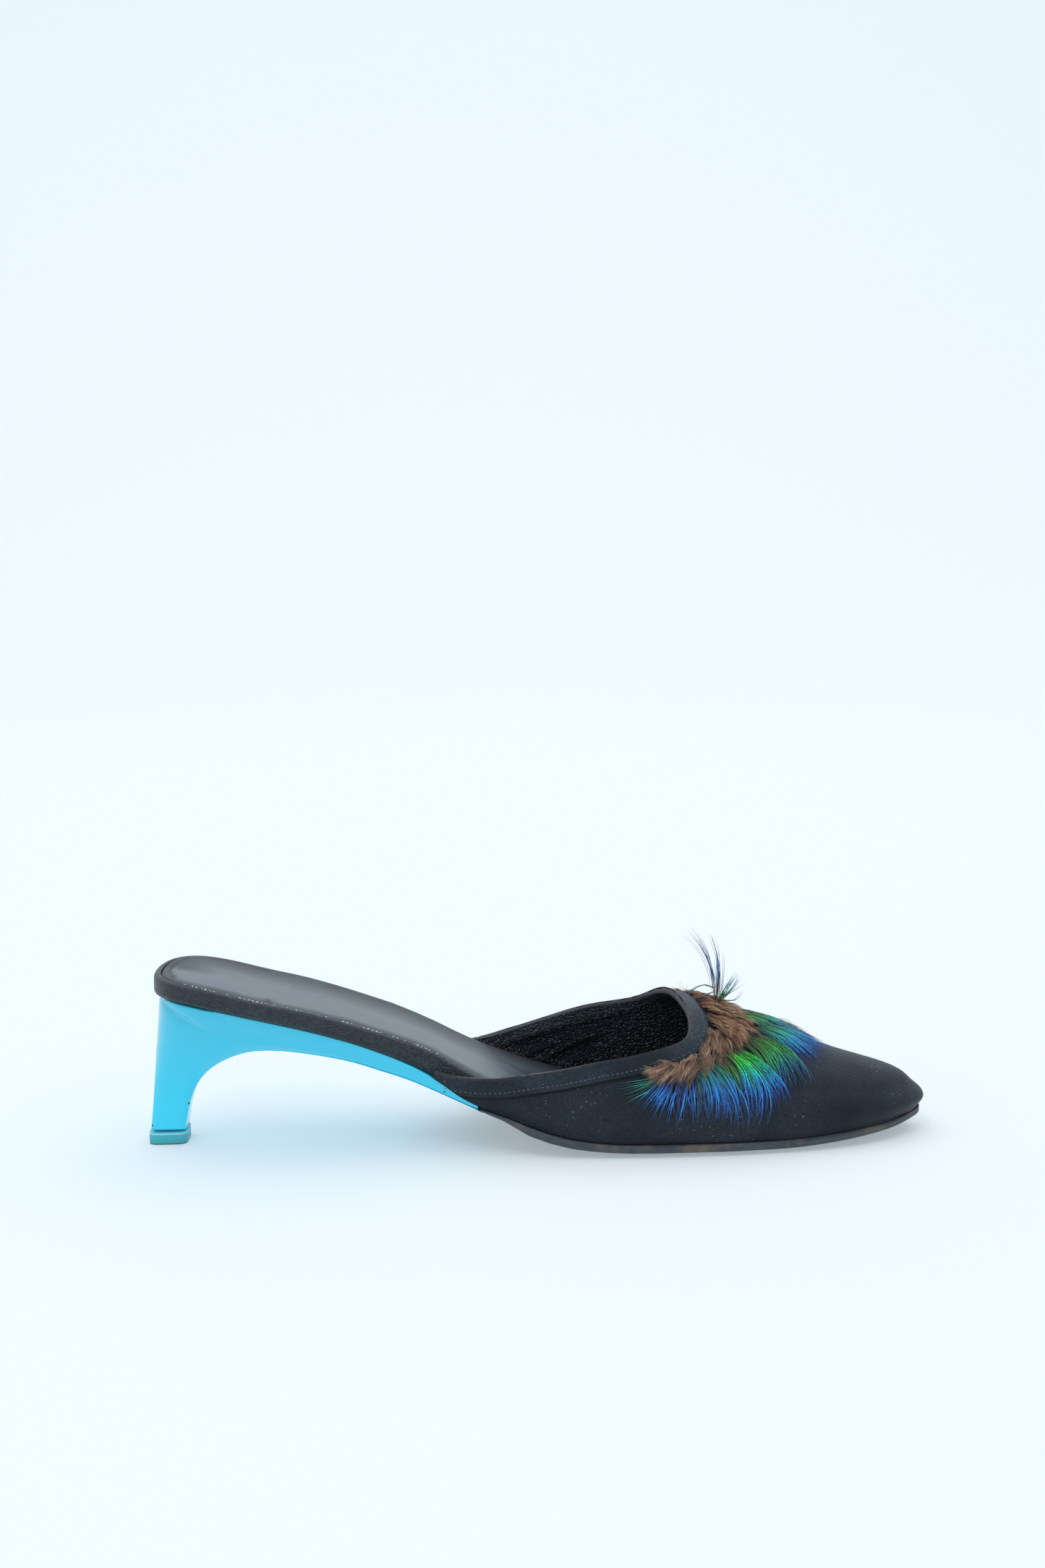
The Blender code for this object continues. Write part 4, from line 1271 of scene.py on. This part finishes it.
def lay_fan(plumage, ground, row, mirror, chance):
    """Lays one fan of barbs on the vamp, or its mirror image on the outer side."""
    shade, root_a, root_b, tip_a, tip_b, bow, lift, number = row
    ladder = [linear(stop) for stop in FAN_SHADES[shade]]
    corners = [Vector(point) * MM for point in (root_a, root_b, tip_a, tip_b)]
    if mirror:
        for corner in corners:
            corner.y = MIRROR_Y - corner.y * MIRROR_SHARE
            corner.z += MIRROR_RISE
    for count in range(number):
        share = (count + 0.5) / number
        tip = corners[2].lerp(corners[3], np.clip(share + chance.uniform(-0.05, 0.05), 0, 1))
        root = corners[0].lerp(corners[1], np.clip(share + chance.uniform(-0.2, 0.2), 0, 1))
        reach = chance.uniform(0.7, 1.08)
        hump = lift * chance.uniform(0.3, 1.2) * MM
        swing = bow * chance.uniform(0.6, 1.4) * MM
        path = []
        normals = []
        for step in np.linspace(0, 1, FAN_STEPS):
            where = root.lerp(tip, step * reach)
            where.x += swing * 4 * step * (1 - step)
            place, normal, _, _ = ground.find_nearest(where)
            rise = FAN_CLEARANCE + hump * math.sin(math.pi * min(1, 0.12 + 0.88 * step)) * (1 - 0.35 * step)
            path.append(place + normal * rise)
            normals.append(normal)
        glow = chance.choice((0.45, 0.8, 1.0, 1.35), p=(0.2, 0.25, 0.3, 0.25))
        width = sizes().barb_width * chance.uniform(0.6, 1.15)
        if shade in THIN_FANS:
            width *= THIN_SHARE
        plumage.add(path, normals, width, glowing(ladder, glow), beads=0.3)


def dress_spray():
    """The iridescent fans on both sides of the vamp."""
    ground = satin_ground()
    material = feather_material("iridescent_barbs", roughness=0.34, sheen=0.15, specular=0.7)
    for name, mirror, seed in (("inner_spray", False, 11), ("outer_spray", True, 12)):
        chance = np.random.default_rng(seed)
        plumage = Plumage(11)
        for row in FANS:
            if not (mirror and row[0] in INNER_FANS):
                lay_fan(plumage, ground, row, mirror, chance)
        put_away(plumage.write(name, material), ["feather_trim"])


# The down along the band: share of the way round the topline, how far past the band its roots
# go, the length of its locks in millimetres, and how they lean towards the outer side
DOWN = (
    # share  roots  length  lean
    (0.320, 0.8, 5.5, -1.35),
    (0.345, 1.6, 7.0, -1.30),
    (0.370, 3.5, 8.0, -1.20),
    (0.400, 9.0, 8.5, -1.00),
    (0.430, 12.0, 9.0, -0.75),
    (0.470, 12.5, 8.5, -0.40),
    (0.510, 12.5, 8.0, 0.00),
    (0.550, 11.0, 8.0, 0.60),
    (0.590, 6.0, 8.0, 1.00),
    (0.630, 3.0, 7.0, 1.25),
    (0.660, 1.0, 5.0, 1.35),
)

DOWN_SHADES = (
    # share of the locks, colours from root to tip
    (0.38, "#664838", "#9C765C", "#C49E80"),
    (0.30, "#76563F", "#B28C70", "#DCBA9C"),
    (0.20, "#4A342A", "#7E5A46", "#A27C62"),
    (0.12, "#2A2222", "#453630", "#5E4C42"),
)

DOWN_LOCKS = 560
# Height of a lock's arch, how far its tip curls aside, and how far its hairs lie apart and stray
DOWN_HEIGHT = 2.4 * MM
LOCK_CURL = 1.2 * MM
HAIR_APART = 0.42 * MM
HAIR_STRAY = 0.75 * MM


def lay_lock(ground, line, run, steps, chance):
    """The middle line of one lock of down, with the normals under it and its side direction."""
    table = np.asarray(DOWN)
    share = chance.uniform(table[0, 0], table[-1, 0])
    roots, length, lean = (np.interp(share, table[:, 0], table[:, column]) for column in (1, 2, 3))
    here = point_at(line, run, share * run[-1])
    along = (point_at(line, run, share * run[-1] + 2.0 * MM) - here).normalized()
    start = sizes().band_width + (chance.uniform(-1.0, 0.4) + roots * chance.uniform(0, 1)) * MM
    places, normals, heading = walk_surface(ground, here, outward(ground, here, along), start, 4)
    turn = lean + chance.normal(0, 0.28)
    across = normals[-1].cross(heading)
    if along.dot(across) < 0:
        across = -across
    heading = heading * math.cos(turn) + across * math.sin(turn)
    reach = length * chance.uniform(0.6, 1.4) * MM
    places, normals, heading = walk_surface(ground, places[-1], heading, reach, len(steps) - 1)
    normals = np.array(normals)
    lift = DOWN_HEIGHT * chance.uniform(0.2, 1.0)
    rise = 0.4 * MM + lift * np.sin(np.pi * np.minimum(1, 0.1 + steps * 0.8))
    spine = np.array(places) + normals * rise[:, None]
    side = unit_rows(np.cross(normals, np.gradient(spine, axis=0)))
    curl = chance.normal(0, LOCK_CURL)
    return spine + side * (curl * steps ** 2)[:, None], normals, side


def dress_down(line):
    """The brown down that the fans grow from, laid in locks."""
    ground = satin_ground()
    chance = np.random.default_rng(21)
    plumage = Plumage(5)
    run = distances(line)
    steps = np.linspace(0, 1, 9)
    ladders = [[linear(stop) for stop in stops] for _, *stops in DOWN_SHADES]
    mix = [share for share, *_ in DOWN_SHADES]
    for _ in range(DOWN_LOCKS):
        spine, normals, side = lay_lock(ground, line, run, steps, chance)
        ladder = ladders[chance.choice(len(mix), p=mix)]
        shine = chance.uniform(0.75, 1.2)
        for _ in range(sizes().hairs // DOWN_LOCKS):
            aside = chance.normal(0, HAIR_APART) * (1 - 0.2 * steps)
            stray = chance.normal(0, HAIR_STRAY) * steps ** 2
            height = chance.uniform(-0.1, 0.5) * MM * (1 - 0.3 * steps)
            path = spine + side * (aside + stray)[:, None] + normals * height[:, None]
            shorter = chance.uniform(0.45, 1.0)
            path = np.column_stack([np.interp(steps * shorter, steps, path[:, axis]) for axis in range(3)])
            glow = shine * chance.uniform(0.7, 1.25)
            width = sizes().hair_width * chance.uniform(0.6, 1.3)
            plumage.add(path, normals, width, glowing(ladder, glow))
    material = feather_material("brown_down", roughness=0.75, sheen=0.35, specular=0.3)
    put_away(plumage.write("feather_down", material), ["feather_trim"])


PLUME_SHADES = {
    "plume": ("#6A4C38", "#4A4A44", "#246A9E", "#2A5CA8", "#34406E", "#3E3A3C"),
    "thin": ("#6A5648", "#5A6068", "#6A7074", "#7A7470"),
    "teal": ("#5A6A34", "#3F7A4A", "#2A8A8E", "#3A8AA0", "#5A8A94"),
    "pale": ("#B0A890", "#C4BCA8"),
}

# The standing feathers, side on, in millimetres from their root: shade, how far the barbs part at
# the tip, their number and width, and the steps of their middle line by X and Z
PLUMES = (
    ("plume", 3.0, 12, 0.25, ((0, 0), (-0.6, 8.5), (-1.8, 14.0), (-3.2, 18.4), (-5.4, 22.4), (-7.6, 25.6))),
    ("thin", 0.7, 3, 0.15, ((-0.6, 4.0), (-1.4, 9.5), (-3.6, 15.4), (-7.0, 20.4), (-10.8, 23.6))),
    ("plume", 1.5, 11, 0.26, ((0.6, 0.0), (1.2, 7.0), (1.1, 13.0), (0.3, 18.8), (-1.6, 24.2))),
    ("thin", 0.5, 4, 0.17, ((1.2, 0.0), (2.1, 5.0), (2.6, 13.5), (2.2, 18.8))),
    ("thin", 0.9, 5, 0.16, ((0.0, 5.0), (-0.2, 10.5), (-0.5, 16.5))),
    ("teal", 2.4, 16, 0.20, ((1.0, 0.5), (3.2, 4.4), (5.6, 7.6), (7.8, 10.4))),
    ("teal", 2.0, 11, 0.19, ((1.4, 0.4), (4.6, 3.6), (7.4, 6.6), (8.0, 9.2))),
    ("teal", 0.8, 8, 0.18, ((-0.6, 5.2), (-3.2, 6.4), (-5.9, 6.0), (-8.4, 4.4), (-10.8, 2.9))),
    ("thin", 0.9, 6, 0.15, ((-0.4, 4.0), (-3.4, 3.0), (-6.0, 1.9), (-8.6, 1.6))),
    ("thin", 0.9, 5, 0.15, ((-0.6, 2.4), (-4.0, 2.6), (-9.2, 2.7))),
    ("thin", 0.7, 4, 0.18, ((2.6, 0.8), (6.6, 0.7), (8.0, 2.2), (9.0, 4.4))),
    ("thin", 0.7, 4, 0.18, ((3.2, -0.9), (7.8, -1.4), (11.6, -3.4))),
    ("pale", 0.3, 2, 0.14, ((-11.2, 3.8), (-11.8, 6.9), (-13.4, 7.8))),
    ("pale", 0.3, 1, 0.14, ((-9.6, 4.4), (-9.0, 7.2))),
)
PLUME_ROOT = (183.0, 5.8, 41.0)
# The flat side of the barbs faces the inner side, a little forwards and up
PLUME_FACING = (0.25, -0.95, 0.2)


def softened(values):
    """A row of values with its corners rounded and its ends kept."""
    values[1:-1] = averaged(values, 3)
    return values


def dress_plumes():
    """The standing feathers over the crown of the vamp."""
    chance = np.random.default_rng(31)
    plumage = Plumage(12)
    steps = np.linspace(0, 1, 13)
    normals = np.tile(PLUME_FACING, (len(steps), 1))
    for shade, spread, number, width, corners in PLUMES:
        line = np.asarray(corners)
        ladder = [linear(stop) for stop in PLUME_SHADES[shade]]
        run = distances(line)
        for _ in range(number):
            marks = steps * run[-1] * chance.uniform(0.84, 1.04)
            x = softened(np.interp(marks, run, line[:, 0]))
            z = softened(np.interp(marks, run, line[:, 1]))
            x += chance.normal(0, 0.5) * spread * steps ** 2
            z += chance.normal(0, 0.22) * spread * steps ** 2
            y = chance.normal(0, 0.9) * spread * steps ** 1.5 + chance.normal(0, 0.35)
            x += chance.normal(0, 0.35)
            path = (np.column_stack((x, y, z)) + PLUME_ROOT) * MM
            stops = glowing(ladder, chance.uniform(0.7, 1.2))
            plumage.add(path, normals, width * chance.uniform(0.7, 1.2) * MM, stops, beads=0.15)
    material = feather_material("standing_barbs", roughness=0.45, sheen=0.15, specular=0.5)
    put_away(plumage.write("standing_feathers", material), ["feather_tuft"])


# Stage

LIGHTS = (
    # name, place, aim, size, power
    ("ceiling_softbox", (0.1, 1.0, 2.6), (0.1, 1.0, 0.0), 5.0, 44.0),
    ("key_softbox", (-0.15, -0.6, 1.0), (0.12, 0.0, 0.02), 0.2, 0.9),
)
AIR_STRENGTH = 0.74

# The sheet in metres: its middle, its length and depth, a line just short of its back edge, how high
# it rises there and how round its fold is
SHEET_MIDDLE = (0.1, 0.4, 0.0)
SHEET_SIZE = (7.0, 5.0, 1.0)
SHEET_BACK = 2.4
SHEET_HEIGHT = 3.0
SHEET_FOLD = 1.4

# The camera's place and its right and up directions, as the photograph was taken
CAMERA_PLACE = (0.097385, -0.610544, 0.194334)
CAMERA_RIGHT = Vector((0.99926, -0.03643, -0.01212))
CAMERA_UP = Vector((0.01658, 0.12482, 0.99204))
CAMERA_LENS = 43.17
CAMERA_SENSOR = 36.0


def lay_sheet():
    """A pale sheet that sweeps up behind the shoe."""
    bpy.ops.object.select_all(action="DESELECT")
    bpy.ops.mesh.primitive_plane_add(size=1, location=SHEET_MIDDLE)
    sheet = bpy.context.object
    sheet.name = "studio_sheet"
    bpy.ops.object.mode_set(mode="EDIT")
    bpy.ops.transform.resize(value=SHEET_SIZE)
    bpy.ops.object.mode_set(mode="OBJECT")
    shape = bmesh.new()
    shape.from_mesh(sheet.data)
    back = [line for line in shape.edges if all(vertex.co.y > SHEET_BACK for vertex in line.verts)]
    wall = bmesh.ops.extrude_edge_only(shape, edges=back)["geom"]
    lifted = [part for part in wall if isinstance(part, bmesh.types.BMVert)]
    bmesh.ops.translate(shape, vec=(0, 0, SHEET_HEIGHT), verts=lifted)
    corner = [
        line for line in shape.edges
        if all(vertex.co.y > SHEET_BACK and abs(vertex.co.z) < 0.01 for vertex in line.verts)
    ]
    bmesh.ops.bevel(shape, geom=corner, offset=SHEET_FOLD, segments=16, profile=0.5, affect="EDGES")
    bmesh.ops.recalc_face_normals(shape, faces=shape.faces)
    shape.to_mesh(sheet.data)
    shape.free()
    select_only(sheet)
    bpy.ops.object.transform_apply(location=True, rotation=True, scale=True)
    bpy.ops.object.shade_smooth()
    sheet.data.materials.append(sheet_material())


def hang_lights():
    """Soft boxes and a pale surround."""
    world = bpy.data.worlds.new("studio_air")
    world.use_nodes = True
    glow = world.node_tree.nodes["Background"]
    glow.inputs["Color"].default_value = fixed_colour("studio air")
    glow.inputs["Strength"].default_value = AIR_STRENGTH
    bpy.context.scene.world = world
    for name, place, aim, size, power in LIGHTS:
        data = bpy.data.lights.new(name, "AREA")
        data.shape = "DISK"
        data.size = size
        data.energy = power
        lamp = bpy.data.objects.new(name, data)
        lamp.location = place
        lamp.rotation_mode = "QUATERNION"
        lamp.rotation_quaternion = (Vector(aim) - Vector(place)).to_track_quat("-Z", "Y")
        bpy.context.scene.collection.objects.link(lamp)


def set_camera():
    """A camera where the photograph was taken from."""
    data = bpy.data.cameras.new("photo_camera")
    data.sensor_width = CAMERA_SENSOR
    data.lens = CAMERA_LENS
    data.clip_start = 0.01
    camera = bpy.data.objects.new("photo_camera", data)
    look = turned(CAMERA_RIGHT, CAMERA_UP, CAMERA_RIGHT.cross(CAMERA_UP))
    camera.matrix_world = Matrix.Translation(CAMERA_PLACE) @ look
    bpy.context.scene.collection.objects.link(camera)
    bpy.context.scene.camera = camera
    bpy.context.scene.view_settings.view_transform = "Standard"


def make_stage():
    """The sheet, the lights and the camera."""
    lay_sheet()
    hang_lights()
    set_camera()


# Operators and panel

# The topline that the band, the stitches and the feathers follow, kept once the upper is dressed
TOPLINE = {}


class MULE_OT_dress_upper(bpy.types.Operator):
    """Dress the upper in satin and kid"""
    bl_idname = "mule.dress_upper"
    bl_label = "Satin upper"

    def execute(self, context):
        TOPLINE["line"] = dress_upper()
        return {"FINISHED"}


class MULE_OT_dress_band(bpy.types.Operator):
    """Lay the band on the topline"""
    bl_idname = "mule.dress_band"
    bl_label = "Topline band"

    def execute(self, context):
        dress_band(TOPLINE["line"])
        return {"FINISHED"}


class MULE_OT_dress_stitches(bpy.types.Operator):
    """Sew the band down"""
    bl_idname = "mule.dress_stitches"
    bl_label = "Stitches"

    def execute(self, context):
        dress_stitches(TOPLINE["line"])
        return {"FINISHED"}


class MULE_OT_dress_insole(bpy.types.Operator):
    """Cover the insole board and lay the sock"""
    bl_idname = "mule.dress_insole"
    bl_label = "Insole"

    def execute(self, context):
        dress_insole()
        return {"FINISHED"}


class MULE_OT_dress_sole(bpy.types.Operator):
    """Stain the outsole"""
    bl_idname = "mule.dress_sole"
    bl_label = "Outsole"

    def execute(self, context):
        dress_sole()
        return {"FINISHED"}


class MULE_OT_dress_heel(bpy.types.Operator):
    """Lacquer the heel and fit its top piece"""
    bl_idname = "mule.dress_heel"
    bl_label = "Heel"

    def execute(self, context):
        dress_heel()
        return {"FINISHED"}


class MULE_OT_dress_spray(bpy.types.Operator):
    """Lay the bright fans"""
    bl_idname = "mule.dress_spray"
    bl_label = "Spray"

    def execute(self, context):
        dress_spray()
        return {"FINISHED"}


class MULE_OT_dress_down(bpy.types.Operator):
    """Lay the brown down"""
    bl_idname = "mule.dress_down"
    bl_label = "Down"

    def execute(self, context):
        dress_down(TOPLINE["line"])
        return {"FINISHED"}


class MULE_OT_dress_plumes(bpy.types.Operator):
    """Stand the feathers on the vamp"""
    bl_idname = "mule.dress_plumes"
    bl_label = "Standing feathers"

    def execute(self, context):
        dress_plumes()
        return {"FINISHED"}


class MULE_OT_make_stage(bpy.types.Operator):
    """Set the sheet, the lights and the camera"""
    bl_idname = "mule.make_stage"
    bl_label = "Stage"

    def execute(self, context):
        make_stage()
        return {"FINISHED"}


OPERATORS = (
    MULE_OT_dress_upper,
    MULE_OT_dress_band,
    MULE_OT_dress_stitches,
    MULE_OT_dress_insole,
    MULE_OT_dress_sole,
    MULE_OT_dress_heel,
    MULE_OT_dress_spray,
    MULE_OT_dress_down,
    MULE_OT_dress_plumes,
    MULE_OT_make_stage,
)


class MULE_PT_panel(bpy.types.Panel):
    """Lists the pieces."""
    bl_idname = "MULE_PT_panel"
    bl_label = "Feather Mule"
    bl_space_type = "VIEW_3D"
    bl_region_type = "UI"
    bl_category = "Mule"

    def draw(self, context):
        for one in OPERATORS:
            self.layout.operator(one.bl_idname)
        for group in (context.scene.mule_sizes, context.scene.mule_colours):
            for name in group.__annotations__:
                self.layout.prop(group, name)


CLASSES = (MuleSizes, MuleColours, *OPERATORS, MULE_PT_panel)


def register():
    for one in CLASSES:
        bpy.utils.register_class(one)
    bpy.types.Scene.mule_sizes = bpy.props.PointerProperty(type=MuleSizes)
    bpy.types.Scene.mule_colours = bpy.props.PointerProperty(type=MuleColours)


def unregister():
    del bpy.types.Scene.mule_colours
    del bpy.types.Scene.mule_sizes
    for one in reversed(CLASSES):
        bpy.utils.unregister_class(one)


def main():
    register()
    for one in OPERATORS:
        name = one.bl_idname.split(".")[1]
        getattr(bpy.ops.mule, name)()


if __name__ == "__main__":
    main()
